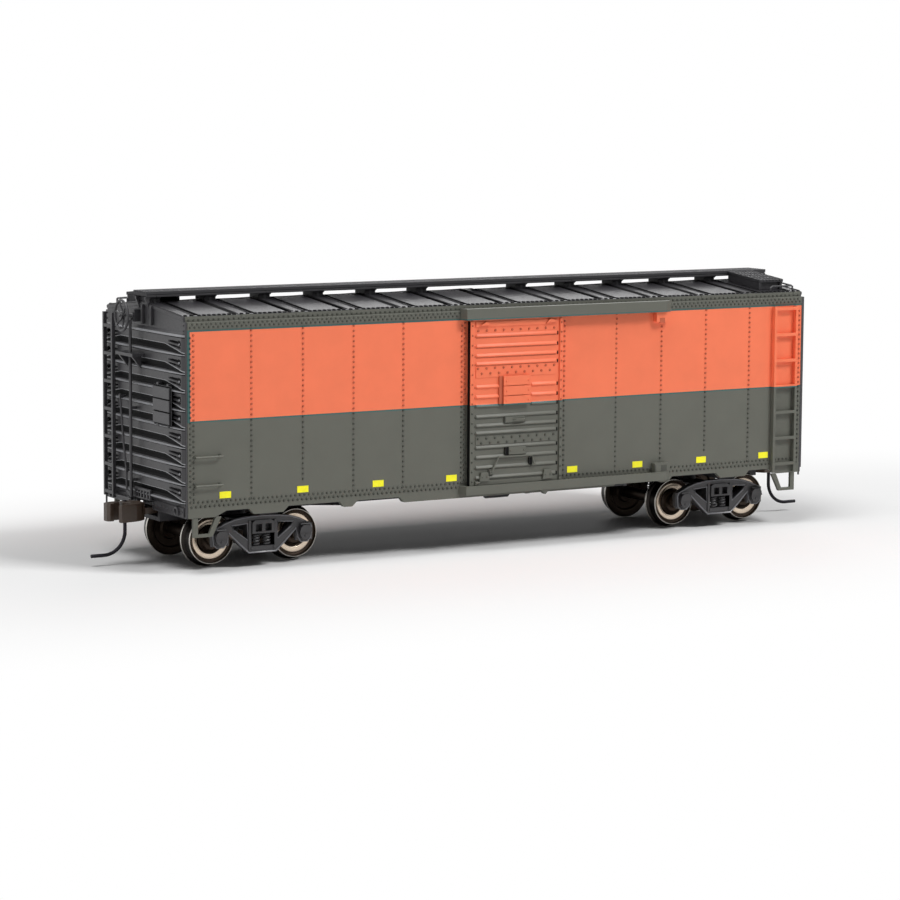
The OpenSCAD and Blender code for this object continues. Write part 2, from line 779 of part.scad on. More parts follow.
// Two wheels on one axle; the profile is half of a turned wheel with its flange
module wheel() {
    r = tread_d / 2;
    rotate([90, 0, 0]) translate([0, 0, back_to_back / 2])
        rotate_extrude($fn = 72)
            polygon([[axle_d / 2, 0], [2, 0], [2.3, 0.5], [3.6, 0.5], [3.9, 0],
                     [r + 0.3, 0], [flange_r, 0.35], [r + 0.35, 0.75], [r, 0.95],
                     [r - 0.1, wheel_w - 0.25], [r - 0.3, wheel_w], [3.9, wheel_w],
                     [3.6, wheel_w - 0.7], [2.1, wheel_w - 0.7], [1.9, wheel_w], [axle_d / 2, wheel_w]]);
}

module wheel_pair() {
    color(metal) translate([0, 0, wheel_z]) {
        wheel();
        mirror([0, 1, 0]) wheel();
    }
}

module axle() {
    color([0.2, 0.18, 0.16]) translate([0, axle_l / 2, wheel_z]) rotate([90, 0, 0]) {
        cylinder(r1 = 0.05, r2 = axle_d / 2, h = needle_l);
        translate([0, 0, needle_l]) cylinder(d = axle_d, h = axle_l - 2 * needle_l);
        translate([0, 0, axle_l - needle_l]) cylinder(r1 = axle_d / 2, r2 = 0.05, h = needle_l);
    }
}

axle_places = [for (s = [-1, 1], a = [-1, 1]) s * bolster_x + a * journal_x];

// ---- couplers ----

// Head and shank at the +X end; the knuckle's hinge is on the -Y side of the mouth
module coupler() {
    kx = knuckle_x;
    color(brown) difference() {
        union() {
            translate([0, 0, coupler_z - shank_t / 2]) linear_extrude(shank_t) {
                translate([pivot_x, 0]) circle(2.1);
                translate([pivot_x, -1.3]) square([kx - 2 - pivot_x, 2.6]);
            }
            translate([0, 0, coupler_z - head_t / 2]) linear_extrude(head_t)
                polygon([[kx - 2.7, -1.3], [kx - 1.6, -2.6], [kx + 0.9, -2.9], [kx + 0.9, -1],
                         [kx - 0.2, 0.6], [kx + 0.5, 1.7], [kx + 3.3, 2.5], [kx + 3, 3.2],
                         [kx - 0.4, 2.7], [kx - 1.6, 2.2], [kx - 2.7, 1.3]]);
        }
        bar_z([pivot_x, 0, coupler_z - 2], 4, pivot_post_d + 0.3);
        // Slot that the knuckle turns in, between the two lugs of the head
        translate([kx - 1.15, -4, coupler_z - lug_gap / 2]) cube([6, 4.6, lug_gap]);
        bar_z([kx, knuckle_y, coupler_z - 3], 6, pin_d + 0.1);
    }
}

// Plan of the knuckle's arm and nose, from a distance in front of its hinge
module knuckle_plan(from, half) {
    translate([knuckle_x, knuckle_y])
        polygon([[from, -half], [3.5, -0.7], [4.5, 0.2], [4.5, 1.6], [4, 2.1], [3.2, 2.0],
                 [2.7, 0.9], [from, 0.9]]);
}

module knuckle() {
    kx = knuckle_x;
    t = lug_gap - 0.2;
    color(brown) difference() {
        union() {
            bar_z([kx, knuckle_y, coupler_z - t / 2], t, 1.9);
            // Arm and nose of the knuckle
            translate([0, 0, coupler_z - t / 2]) linear_extrude(t)
                knuckle_plan(0, 0.95);
            // Full-height face in front of the lugs
            translate([0, 0, coupler_z - head_t / 2]) linear_extrude(head_t)
                knuckle_plan(1.5, 0.84);
        }
        bar_z([kx, knuckle_y, coupler_z - 3], 6, pin_d);
    }
}

module trip_pin() {
    bend_z = rail_z + pin_h + pin_bend;
    color(metal) translate([knuckle_x, knuckle_y, 0]) {
        bar_z([0, 0, bend_z], coupler_z + head_t / 2 + 0.2 - bend_z, pin_d);
        translate([pin_bend, 0, bend_z]) rotate([90, 0, 0]) rotate([0, 0, 180])
            rotate_extrude(angle = 90) translate([pin_bend, 0]) circle(d = pin_d);
        bar_x([pin_bend, 0, bend_z - pin_bend], pin_tail, pin_d);
    }
}

// ---- the car ----

side_panel();  // right_side
opposite() side_panel();  // left_side
opposite() end_panel();  // brake_end
end_panel();  // plain_end
roof();
running_board();
roof_grabs();
floor_plate();  // floor
steel_weight();
underframe();
centre_sill();
opposite() body_bolster();  // brake_end_bolster
body_bolster();  // plain_end_bolster
crossbearers();
opposite() coupler_cover();  // brake_end_coupler_cover
coupler_cover();  // plain_end_coupler_cover
opposite() truck_screw();  // brake_end_truck_screw
truck_screw();  // plain_end_truck_screw
side_ladder();  // right_side_ladder
opposite() side_ladder();  // left_side_ladder
opposite() end_ladder();  // brake_end_ladder
end_ladder();  // plain_end_ladder
side_grabs();  // right_side_grabs
opposite() side_grabs();  // left_side_grabs
mirror([1, 0, 0]) sill_step();  // brake_right_step
sill_step();  // plain_right_step
mirror([0, 1, 0]) sill_step();  // plain_left_step
opposite() sill_step();  // brake_left_step
upper_track();  // right_upper_track
lower_track();  // right_lower_track
opposite() upper_track();  // left_upper_track
opposite() lower_track();  // left_lower_track
door();  // right_door
opposite() door();  // left_door
brake_wheel();
brake_housing();
brake_rod();
brake_platform();
air_reservoir();
brake_cylinder();
control_valve();
brake_levers();
translate([-bolster_x, 0, 0]) truck();  // brake_end_truck
translate([bolster_x, 0, 0]) truck();  // plain_end_truck
translate([axle_places[0], 0, 0]) wheel_pair();  // wheels_1
translate([axle_places[1], 0, 0]) wheel_pair();  // wheels_2
translate([axle_places[2], 0, 0]) wheel_pair();  // wheels_3
translate([axle_places[3], 0, 0]) wheel_pair();  // wheels_4
translate([axle_places[0], 0, 0]) axle();  // axle_1
translate([axle_places[1], 0, 0]) axle();  // axle_2
translate([axle_places[2], 0, 0]) axle();  // axle_3
translate([axle_places[3], 0, 0]) axle();  // axle_4
opposite() coupler();  // brake_end_coupler
coupler();  // plain_end_coupler
opposite() knuckle();  // brake_end_knuckle
knuckle();  // plain_end_knuckle
opposite() trip_pin();  // brake_end_trip_pin
trip_pin();  // plain_end_trip_pin
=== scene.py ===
"""Detail, finishes and studio of an HO scale model boxcar, built around its CAD frame."""

import math

import bmesh
import bpy
from mathutils import Matrix, Vector
from mathutils.geometry import tessellate_polygon


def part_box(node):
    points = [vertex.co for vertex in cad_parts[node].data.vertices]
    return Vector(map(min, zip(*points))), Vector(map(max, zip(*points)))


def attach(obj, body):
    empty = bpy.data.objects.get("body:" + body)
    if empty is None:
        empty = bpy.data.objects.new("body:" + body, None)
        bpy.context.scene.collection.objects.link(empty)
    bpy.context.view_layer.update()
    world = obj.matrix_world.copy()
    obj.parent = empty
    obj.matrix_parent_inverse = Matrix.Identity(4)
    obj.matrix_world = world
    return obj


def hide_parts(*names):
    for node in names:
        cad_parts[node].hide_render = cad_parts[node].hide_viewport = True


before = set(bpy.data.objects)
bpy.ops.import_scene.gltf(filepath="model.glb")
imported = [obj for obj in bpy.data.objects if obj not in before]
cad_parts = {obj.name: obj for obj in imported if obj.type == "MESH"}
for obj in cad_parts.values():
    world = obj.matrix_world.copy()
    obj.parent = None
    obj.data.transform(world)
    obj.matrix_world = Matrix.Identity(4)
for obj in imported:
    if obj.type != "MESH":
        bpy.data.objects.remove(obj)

bl_info = {
    "name": "Model Boxcar Looks",
    "version": (1, 0, 0),
    "blender": (4, 5, 0),
    "location": "View3D > Sidebar > Boxcar",
    "description": "Builds the detail, finishes and studio of a scale model boxcar",
    "category": "Object",
}


# ---- where the CAD parts are, in millimetres ----

def span(node):
    """Lowest and highest corners of a CAD node."""
    low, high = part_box(node)
    return Vector(low) * 1000, Vector(high) * 1000


SIDE_LOW, SIDE_HIGH = span("right_side")
DOOR_LOW, DOOR_HIGH = span("right_door")
ROOF_HIGH = span("roof")[1]
BOARD_HIGH = span("running_board")[1]
SKIN_X = 71.5                           # outer face of the end panels' skin
RAIL = 0.64                             # tops of the rails, a flange's depth above the origin
SILL = SIDE_LOW.z
TOP = SIDE_HIGH.z
FACE = SIDE_LOW.y                       # the right side's outer face
HALF_W = -FACE
SIDE_HALF = SIDE_HIGH.x
BOLSTER_X = 53.5                        # truck pivots, either side of the middle
ROOF_HALF = ROOF_HIGH.y
EAVE = TOP + 1.1                        # top of the roof's sheet at its edges
RIDGE = EAVE + 1.7                      # and along its middle
SLOPE = (RIDGE - EAVE) / ROOF_HALF
ROOF_PANELS = 12
SEAM_X = [-70.3 + i * 140.6 / ROOF_PANELS for i in range(ROOF_PANELS + 1)]
MIDDLE_SEAM = 6                         # the seam that carries no saddle of the running board
DOOR_Z0 = DOOR_LOW.z + 0.8              # the door without the tongues that run in its tracks
DOOR_Z1 = DOOR_HIGH.z - 0.8
DOOR_BACK = FACE - 0.24                 # clear of the rivets that the door slides past
DOOR_FACE = FACE - 0.95
BAND_LOW = RAIL + 28.6                  # the orange band, between two olive ones
BAND_HIGH = RAIL + 45.3
SPRAY_DEPTH = 0.9                       # how far the paint reaches into the doorways
WHEEL_Z = span("wheels_4")[1].z / 2
OUT_RIGHT = (0, -1, 0)                  # the way the right side looks


# ---- settings a user would change ----

def linear(code):
    """Linear red, green and blue of an sRGB hex colour."""
    parts = [int(code[i:i + 2], 16) / 255 for i in (1, 3, 5)]
    return tuple(c / 12.92 if c <= 0.04045 else ((c + 0.055) / 1.055) ** 2.4 for c in parts)


def colour(name, description, code):
    return bpy.props.FloatVectorProperty(
        name=name, description=description, subtype="COLOR", size=3, min=0, max=1,
        default=linear(code))


def length(name, description, millimetres):
    return bpy.props.FloatProperty(
        name=name, description=description, unit="LENGTH", precision=5, min=0,
        default=millimetres / 1000)


class BoxcarPaint(bpy.types.PropertyGroup):
    """Colours of the paints and plastics"""
    band: colour("Band", "Paint of the broad band on the sides and doors", "#F47B55")
    body: colour("Body", "Paint of the sides above and below the band", "#5F6058")
    line: colour("Line", "Thin line between the band and the body colour", "#38605D")
    plates: colour("Plates", "Paint of the small blank plates along the sill", "#FFF81C")
    black: colour("Black plastic", "Moulded plastic of the roof and the ends", "#302F32")
    truck: colour("Trucks", "Plastic of the trucks", "#2E2D2F")
    coupler: colour("Couplers", "Plastic of the couplers", "#3D3026")


class BoxcarDetail(bpy.types.PropertyGroup):
    """Sizes of the moulded detail"""
    rivet_width: length("Rivet width", "Diameter of a rivet head", 0.5)
    rivet_height: length("Rivet height", "How far a rivet head stands out", 0.22)
    rivet_pitch: length("Rivet pitch", "Distance between the rivets of a seam", 0.98)
    edge: length("Edge", "Width of the rounding on moulded edges", 0.06)


class BoxcarStudio(bpy.types.PropertyGroup):
    """Lights and backdrop"""
    key: bpy.props.FloatProperty(
        name="Key light", description="Power of the large soft light in front", unit="POWER",
        min=0, default=5.6)
    fill: bpy.props.FloatProperty(
        name="Fill light", description="Power of the soft light overhead", unit="POWER",
        min=0, default=3.6)
    rear: bpy.props.FloatProperty(
        name="Rear light", description="Power of the low light behind, which shines along the roof",
        unit="POWER", min=0, default=1.0)
    room: bpy.props.FloatProperty(
        name="Room light", description="Strength of the even light from all round",
        min=0, max=1, default=0.14)
    floor: colour("Floor", "Colour of the floor", "#F2F2F2")


# ---- shapes ----

def on_side(a, b, depth):
    """Place of an outline drawn in X and Z."""
    return (a, depth, b)


def on_end(a, b, depth):
    """Place of an outline drawn in Y and Z."""
    return (depth, a, b)


def on_plan(a, b, depth):
    """Place of an outline drawn in X and Y."""
    return (a, b, depth)


def rectangle(a0, b0, a1, b1):
    return [(a0, b0), (a1, b0), (a1, b1), (a0, b1)]


class Shape:
    """Faces gathered in millimetres, in the car's frame, to be made into one piece."""

    def __init__(self):
        self.points = []
        self.faces = []                 # (corner numbers, material number, is it fine detail)

    def add(self, points, faces, finish=0, fine=False):
        first = len(self.points)
        self.points += [Vector(p) for p in points]
        self.faces += [([first + i for i in face], finish, fine) for face in faces]

    def box(self, low, high, finish=0):
        points = [(x, y, z) for x in (low[0], high[0]) for y in (low[1], high[1])
                  for z in (low[2], high[2])]
        self.add(points, [(0, 1, 3, 2), (4, 6, 7, 5), (0, 4, 5, 1), (2, 3, 7, 6),
                          (0, 2, 6, 4), (1, 5, 7, 3)], finish)

    def prism(self, outline, near, far, place, holes=(), finish=0):
        """An outline with holes, between two depths."""
        loops = [list(outline)] + [list(hole) for hole in holes]
        flat = [p for loop in loops for p in loop]
        count = len(flat)
        points = [place(a, b, depth) for depth in (near, far) for a, b in flat]
        caps = tessellate_polygon([[Vector((a, b, 0)) for a, b in loop] for loop in loops])
        faces = [tuple(c) for c in caps]
        faces += [tuple(i + count for i in reversed(c)) for c in caps]
        start = 0
        for loop in loops:
            size = len(loop)
            for i in range(size):
                a, b = start + i, start + (i + 1) % size
                faces.append((a, b, b + count, a + count))
            start += size
        self.add(points, faces, finish)

    def ridge(self, a0, a1, b, half, out, depth, place=on_side, finish=0):
        """A pressed rib along a face: a long slope above and a steep one below, which shades it."""
        points = []
        for a, pull in ((a0, 0), (a0 + 0.15, 1), (a1 - 0.15, 1), (a1, 0)):
            for db, dz in ((-half * 0.75, 0), (-half * 0.45, pull), (0, pull), (half, 0)):
                points.append(place(a, b + db, depth + out * dz))
        faces = [(r * 4 + c, r * 4 + c + 1, r * 4 + c + 5, r * 4 + c + 4)
                 for r in range(3) for c in range(3)]
        faces.append((0, 4, 8, 12, 15, 11, 7, 3))
        self.add(points, faces, finish)

    def rivet(self, centre, out, radius, height, finish=0):
        """A low six-sided dome; out is the way the face looks."""
        centre, out = Vector(centre), Vector(out).normalized()
        across = out.orthogonal().normalized()
        up = out.cross(across)
        points = []
        for reach, rise in ((1, -0.2), (0.72, 0.72)):
            for i in range(6):
                turn = math.tau * i / 6
                points.append(centre + (across * math.cos(turn) + up * math.sin(turn))
                              * radius * reach + out * height * rise)
        points.append(centre + out * height)
        faces = [(i, (i + 1) % 6, (i + 1) % 6 + 6, i + 6) for i in range(6)]
        faces += [(i + 6, (i + 1) % 6 + 6, 12) for i in range(6)]
        self.add(points, faces, finish, fine=True)

    def rivets(self, places, out, finish=0, size=1.0, rise=1.0):
        detail = bpy.context.scene.boxcar_detail
        for place in places:
            self.rivet(place, out, detail.rivet_width * 500 * size,
                       detail.rivet_height * 1000 * rise, finish)

    def tube(self, path, radius, steps=8, closed=False, finish=0):
        """A round bar along a path."""
        path = [Vector(p) for p in path]
        count = len(path)
        points, side = [], None
        for i, here in enumerate(path):
            before = path[i - 1] if i or closed else here
            after = path[(i + 1) % count] if i < count - 1 or closed else here
            along = (after - before).normalized()
            side = side or along.orthogonal()
            side = (side - along * side.dot(along)).normalized()
            other = along.cross(side)
            for k in range(steps):
                turn = math.tau * k / steps
                points.append(here + (side * math.cos(turn) + other * math.sin(turn)) * radius)
        faces = []
        for i in range(count if closed else count - 1):
            for k in range(steps):
                a, b = i * steps, (i + 1) % count * steps
                faces.append((a + k, a + (k + 1) % steps, b + (k + 1) % steps, b + k))
        if not closed:
            faces.append(tuple(reversed(range(steps))))
            faces.append(tuple(range((count - 1) * steps, count * steps)))
        self.add(points, faces, finish, fine=True)

    def lathe(self, profile, centre, along, across, steps, finishes=None):
        """A closed profile of (radius, distance along the axis) turned about its axis."""
        along, across = Vector(along), Vector(across)
        up = along.cross(across)
        size = len(profile)
        points = []
        for i in range(steps):
            turn = math.tau * i / steps
            way = across * math.cos(turn) + up * math.sin(turn)
            points += [Vector(centre) + along * a + way * r for r, a in profile]
        first = len(self.points)
        self.add(points, [])
        for k in range(size):
            finish = finishes[k] if finishes else 0
            for i in range(steps):
                a, b = first + i * size, first + (i + 1) % steps * size
                self.faces.append(([a + k, b + k, b + (k + 1) % size, a + (k + 1) % size],
                                   finish, True))

    def field(self, us, vs, point, finish_at):
        """A sheet through a point for each crossing of two sets of lines; finish_at gives the
        finish of the cell after line i of the first set and line j of the second."""
        first, rows = len(self.points), len(vs)
        self.add([point(u, v) for u in us for v in vs], [])
        for i in range(len(us) - 1):
            for j in range(rows - 1):
                a = first + i * rows + j
                self.faces.append(([a, a + rows, a + rows + 1, a + 1], finish_at(i, j), True))

    def join(self, other):
        """Takes in another shape, with its finishes."""
        start = len(self.points)
        self.points += other.points
        self.faces += [([i + start for i in face], finish, fine)
                       for face, finish, fine in other.faces]

    def turned(self):
        """The same shape on the other side and end of the car."""
        other = Shape()
        other.points = [Vector((-p.x, -p.y, p.z)) for p in self.points]
        other.faces = list(self.faces)
        return other

    def moved(self, x):
        """The same shape further along the car."""
        other = Shape()
        other.points = [p + Vector((x, 0, 0)) for p in self.points]
        other.faces = list(self.faces)
        return other

    def piece(self, name, body, materials, slot, replaces=(), origin=(0, 0, 0), round_edges=True):
        """Makes the piece, rounds its moulded edges and hangs it on its body."""
        origin = Vector(origin)
        bm = bmesh.new()
        for fine in (False, True):
            wanted = [face for face in self.faces if face[2] == fine]
            corners = {}
            for face, _, _ in wanted:
                for i in face:
                    if i not in corners:
                        corners[i] = bm.verts.new((self.points[i] - origin) / 1000)
            for face, finish, _ in wanted:
                made = bm.faces.new([corners[i] for i in face])
                made.material_index = finish
            if not fine and wanted:
                bmesh.ops.recalc_face_normals(bm, faces=bm.faces[:])
                bmesh.ops.dissolve_limit(bm, angle_limit=math.radians(0.5), verts=bm.verts[:],
                                         edges=bm.edges[:], delimit={"MATERIAL"})
                sharp = [e for e in bm.edges if e.is_manifold and e.calc_face_angle(0) > 0.5]
                width = bpy.context.scene.boxcar_detail.edge
                if round_edges and sharp:
                    bmesh.ops.bevel(bm, geom=sharp, offset=width, segments=1, affect="EDGES",
                                    clamp_overlap=True)
        mesh = bpy.data.meshes.new(name)
        bm.to_mesh(mesh)
        bm.free()
        mesh.shade_smooth()
        mesh.set_sharp_from_angle(angle=math.radians(34))
        for material in materials:
            mesh.materials.append(material)
        made = bpy.data.objects.new(name, mesh)
        made.location = origin / 1000
        bpy.context.scene.collection.objects.link(made)
        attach(made, body)
        if replaces:
            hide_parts(*replaces)
        return made


# ---- finishes ----

def add_node(tree, kind, settings=None, links=None):
    """Adds a node: settings are its properties and inputs, links join inputs to outputs."""
    node = tree.nodes.new(kind)
    for name, value in (settings or {}).items():
        if isinstance(name, int) or name in node.inputs:
            node.inputs[name].default_value = value
        else:
            setattr(node, name, value)
    for name, (source, output) in (links or {}).items():
        tree.links.new(source.outputs[output], node.inputs[name])
    return node


def start_material(name):
    """An empty material and its place in millimetres, which every pattern is drawn on."""
    material = bpy.data.materials.new(name)
    material.use_nodes = True
    tree = material.node_tree
    tree.nodes.clear()
    place = add_node(tree, "ShaderNodeTexCoord")
    scaled = add_node(tree, "ShaderNodeVectorMath", {"operation": "SCALE", "Scale": 1000.0},
                      {0: (place, "Object")})
    return material, tree, scaled


def end_material(material, tree, settings, tint, bump, gloss):
    """Joins colour, bump and gloss to the shader, and that to the output."""
    shader = add_node(tree, "ShaderNodeBsdfPrincipled", settings,
                      {"Base Color": (tint, 0), "Roughness": (gloss, "Result"),
                       "Normal": (bump, "Normal")})
    add_node(tree, "ShaderNodeOutputMaterial", None, {"Surface": (shader, "BSDF")})
    return material


def uneven_colour(tree, scaled, source, base, size, amount):
    """Slight lighter and darker clouds, size millimetres across, in the colour from a source
    node or in a plain base colour."""
    cloud = add_node(tree, "ShaderNodeTexNoise", {"Scale": 1 / size, "Detail": 4.0},
                     {"Vector": (scaled, "Vector")})
    gain = add_node(tree, "ShaderNodeMapRange",
                    {"From Min": 0.3, "From Max": 0.7, "To Min": 1 - amount, "To Max": 1 + amount},
                    {"Value": (cloud, "Fac")})
    settings, links = {"operation": "SCALE"}, {"Scale": (gain, "Result")}
    if source:
        links[0] = (source, 0)
    else:
        settings[0] = base
    return add_node(tree, "ShaderNodeVectorMath", settings, links)


def skin(tree, scaled, grain, strength, low, high):
    """Bump and uneven gloss of a surface whose grain is so many millimetres across."""
    fine = add_node(tree, "ShaderNodeTexNoise", {"Scale": 1 / grain, "Detail": 3.0},
                    {"Vector": (scaled, "Vector")})
    bump = add_node(tree, "ShaderNodeBump", {"Strength": strength, "Distance": 0.00004},
                    {"Height": (fine, "Fac")})
    gloss = add_node(tree, "ShaderNodeMapRange",
                     {"From Min": 0.3, "From Max": 0.7, "To Min": low, "To Max": high},
                     {"Value": (fine, "Fac")})
    return bump, gloss


def band_colours(tree, scaled):
    """The paint scheme: olive, an orange band with a thin dark line round it, and olive."""
    paint = bpy.context.scene.boxcar_paint
    axes = add_node(tree, "ShaderNodeSeparateXYZ", None, {"Vector": (scaled, "Vector")})
    lift = add_node(tree, "ShaderNodeMath",
                    {"operation": "SUBTRACT", 1: (BAND_LOW + BAND_HIGH) / 2}, {0: (axes, "Z")})
    off = add_node(tree, "ShaderNodeMath", {"operation": "ABSOLUTE"}, {0: (lift, 0)})
    reach = (BAND_HIGH - BAND_LOW) / 2
    # The line is 0.3 mm broad, which shows as one fine stroke
    line = add_node(tree, "ShaderNodeMath", {"operation": "LESS_THAN", 1: reach + 0.3},
                    {0: (off, 0)})
    band = add_node(tree, "ShaderNodeMath", {"operation": "LESS_THAN", 1: reach}, {0: (off, 0)})
    # Each side's left edge, as it is looked at: -X on the right side and +X on the left one
    side = add_node(tree, "ShaderNodeMath", {"operation": "SIGN"}, {0: (axes, "Y")})
    left = add_node(tree, "ShaderNodeMath", {"operation": "MULTIPLY"},
                    {0: (axes, "X"), 1: (side, 0)})
    inner = add_node(tree, "ShaderNodeMath", {"operation": "LESS_THAN", 1: SIDE_HALF - 0.55},
                     {0: (left, 0)})
    orange = add_node(tree, "ShaderNodeMath", {"operation": "MULTIPLY"},
                      {0: (band, 0), 1: (inner, 0)})
    lined = add_node(tree, "ShaderNodeMix",
                     {"data_type": "RGBA", 6: (*paint.body, 1), 7: (*paint.line, 1)},
                     {0: (line, 0)})
    scheme = add_node(tree, "ShaderNodeMix", {"data_type": "RGBA", 7: (*paint.band, 1)},
                      {0: (orange, 0), 6: (lined, 2)})
    # The spray stops just inside the doorways; the load space is bare black plastic
    depth = add_node(tree, "ShaderNodeMath", {"operation": "ABSOLUTE"}, {0: (axes, "Y")})
    sprayed = add_node(tree, "ShaderNodeMath", {"operation": "GREATER_THAN", 1: -FACE - SPRAY_DEPTH},
                       {0: (depth, 0)})
    return add_node(tree, "ShaderNodeMix", {"data_type": "RGBA", 6: (*paint.black, 1)},
                    {0: (sprayed, 0), 7: (scheme, 2)})


def sprayed_scheme(name, shade_level):
    """Satin paint sprayed on moulded polystyrene in the two-tone scheme; shade_level scales the
    colours down for painted shade, and is 1 where there is none."""
    material, tree, scaled = start_material(name)
    scheme = band_colours(tree, scaled)
    scheme_in_shade = add_node(tree, "ShaderNodeVectorMath", {"operation": "SCALE", "Scale": shade_level},
                       {0: (scheme, 2)})
    # Clouds 6 mm across, where the paint is a little thicker
    tint = uneven_colour(tree, scaled, scheme_in_shade, None, 6, 0.035)
    # Spray grain is near 0.03 mm; 0.25 mm shows as a faint softness in the sheen
    bump, gloss = skin(tree, scaled, 0.25, 0.18, 0.42, 0.54)
    return end_material(material, tree, {"IOR": 1.49, "Specular IOR Level": 0.4}, tint, bump, gloss)


def sprayed_paint_on_styrene():
    """Full paint with no painted shade: even colour, a soft sheen, no brush marks."""
    return sprayed_scheme("sprayed_paint_on_styrene", 1.0)


def paint_with_painted_shade():
    """The same paint colours, darker: painted shade on the rivets of the sides, the doors and the
    roof's flange, and on dark strips and patches on the sides and doors."""
    return sprayed_scheme("sprayed_paint_painted_shade", 0.55)


def sprayed_olive_on_acetal():
    """The body colour sprayed on small fittings: the same satin, in faint lighter and darker clouds.
    """
    paint = bpy.context.scene.boxcar_paint
    material, tree, scaled = start_material("sprayed_olive_on_acetal")
    tint = uneven_colour(tree, scaled, None, tuple(paint.body), 3, 0.05)
    bump, gloss = skin(tree, scaled, 0.2, 0.15, 0.42, 0.55)
    return end_material(material, tree, {"IOR": 1.49, "Specular IOR Level": 0.4}, tint, bump, gloss)


def enamel_plate():
    """Enamel on the small plates: a clean bright yellow with a gloss."""
    paint = bpy.context.scene.boxcar_paint
    material, tree, scaled = start_material("enamel_plate")
    tint = uneven_colour(tree, scaled, None, tuple(paint.plates), 0.8, 0.04)
    bump, gloss = skin(tree, scaled, 0.2, 0.1, 0.3, 0.4)
    return end_material(material, tree, {"IOR": 1.5}, tint, bump, gloss)


def moulded_plastic(name, shade, cloud, grain, bump_by, low, high, shine=0.5):
    """Injection moulded plastic in its own colour: flow clouds, and gloss that varies with them."""
    material, tree, scaled = start_material(name)
    tint = uneven_colour(tree, scaled, None, tuple(shade), cloud, 0.1)
    bump, gloss = skin(tree, scaled, grain, bump_by, low, high)
    return end_material(material, tree, {"IOR": 1.55, "Specular IOR Level": shine}, tint, bump, gloss)


def black_styrene():
    """Black polystyrene from a polished mould: a satin skin that catches the light on every rib."""
    paint = bpy.context.scene.boxcar_paint
    return moulded_plastic("moulded_black_styrene", paint.black, 5, 0.3, 0.12, 0.36, 0.48)


def black_for_painted_shade():
    """Near-black, dull plastic as painted shade: in the roof's channels and on its eave rivets, in
    the ends' folds, behind the tack boards, and in the notches and left edge of the doors."""
    return moulded_plastic("near_black_painted_shade", linear("#060607"), 3, 0.2, 0.25, 0.6, 0.75,
                           0.12)


def crest_highlight_styrene():
    """Grey, shiny plastic as painted highlight on the crests of the pressed ribs and on the darts'
    rivets.
    """
    return moulded_plastic("grey_styrene_painted_highlight", linear("#9A9B9F"), 2, 0.2, 0.1, 0.28, 0.4)


def roof_styrene():
    """Black polystyrene of the roof, duller than the ends so that the flat pans stay dark."""
    return moulded_plastic("satin_roof_styrene", linear("#252427"), 6, 0.3, 0.15, 0.38, 0.5, 0.26)


def black_styrene_matt():
    """Black polystyrene from an etched mould: a dry, even black for the walkways and the floor."""
    return moulded_plastic("etched_black_styrene", linear("#2C2B2E"), 3, 0.2, 0.2, 0.5, 0.64,
                           0.35)


def black_acetal():
    """Black acetal: waxy, slightly glossier than styrene, with soft highlights on round parts."""
    paint = bpy.context.scene.boxcar_paint
    return moulded_plastic("moulded_black_acetal", paint.truck, 2.5, 0.25, 0.12, 0.38, 0.5)


def rim_highlight_acetal():
    """Rims of the truck castings in grey, shiny acetal: painted highlight."""
    return moulded_plastic("grey_acetal_painted_highlight", linear("#6A6A6E"), 2, 0.2, 0.1, 0.28, 0.4)


def brown_acetal():
    """Brown acetal of the couplers: dark, waxy, its edges catching a warm light."""
    paint = bpy.context.scene.boxcar_paint
    return moulded_plastic("moulded_brown_acetal", paint.coupler, 1.5, 0.2, 0.15, 0.36, 0.5)


def turned_metal(name, shade, metallic, low, high, pitch, groove):
    """Metal turned on a lathe: fine rings about the axle, pitch millimetres apart."""
    material, tree, scaled = start_material(name)
    flat = add_node(tree, "ShaderNodeVectorMath", {"operation": "MULTIPLY", 1: (1, 0, 1)},
                    {0: (scaled, "Vector")})
    radius = add_node(tree, "ShaderNodeVectorMath", {"operation": "LENGTH"}, {0: (flat, 0)})
    along = add_node(tree, "ShaderNodeSeparateXYZ", None, {"Vector": (scaled, "Vector")})
    both = add_node(tree, "ShaderNodeMath", {"operation": "ADD"},
                    {0: (radius, "Value"), 1: (along, "Y")})
    wave = add_node(tree, "ShaderNodeMath", {"operation": "MULTIPLY", 1: math.tau / pitch},
                    {0: (both, 0)})
    ring = add_node(tree, "ShaderNodeMath", {"operation": "SINE"}, {0: (wave, 0)})
    tint = uneven_colour(tree, scaled, None, tuple(shade), 1.2, 0.08)
    bump = add_node(tree, "ShaderNodeBump", {"Strength": groove, "Distance": 0.00002},
                    {"Height": (ring, 0)})
    gloss = add_node(tree, "ShaderNodeMapRange",
                     {"From Min": -1.0, "From Max": 1.0, "To Min": low, "To Max": high},
                     {"Value": (ring, 0)})
    return end_material(material, tree, {"Metallic": metallic}, tint, bump, gloss)


def turned_nickel():
    """Nickel plate on a turned tread: bright, with rings. Real tool marks are 0.05 mm apart;
    0.12 mm is the closest that still shows."""
    return turned_metal("turned_nickel_plate", linear("#C9C5BE"), 1.0, 0.16, 0.3, 0.12, 0.3)


def tread_with_painted_shade():
    """Nickel of the tread and the flange's faces, darkened as painted shade: dark, with a sharp
    shine.
    """
    return turned_metal("nickel_tread_painted_shade", linear("#2B2826"), 1.0, 0.24, 0.36, 0.12, 0.2)


def bronze_web():
    """The wheel's web, plated warmer and left duller than its tread."""
    return turned_metal("turned_bronze_plate", linear("#D3C3B0"), 1.0, 0.2, 0.32, 0.2, 0.3)


def blackened_brass():
    """Chemically blackened brass: nearly black, a low brown shine along the axle."""
    return turned_metal("blackened_turned_brass", linear("#3A322C"), 1.0, 0.34, 0.48, 0.15, 0.25)


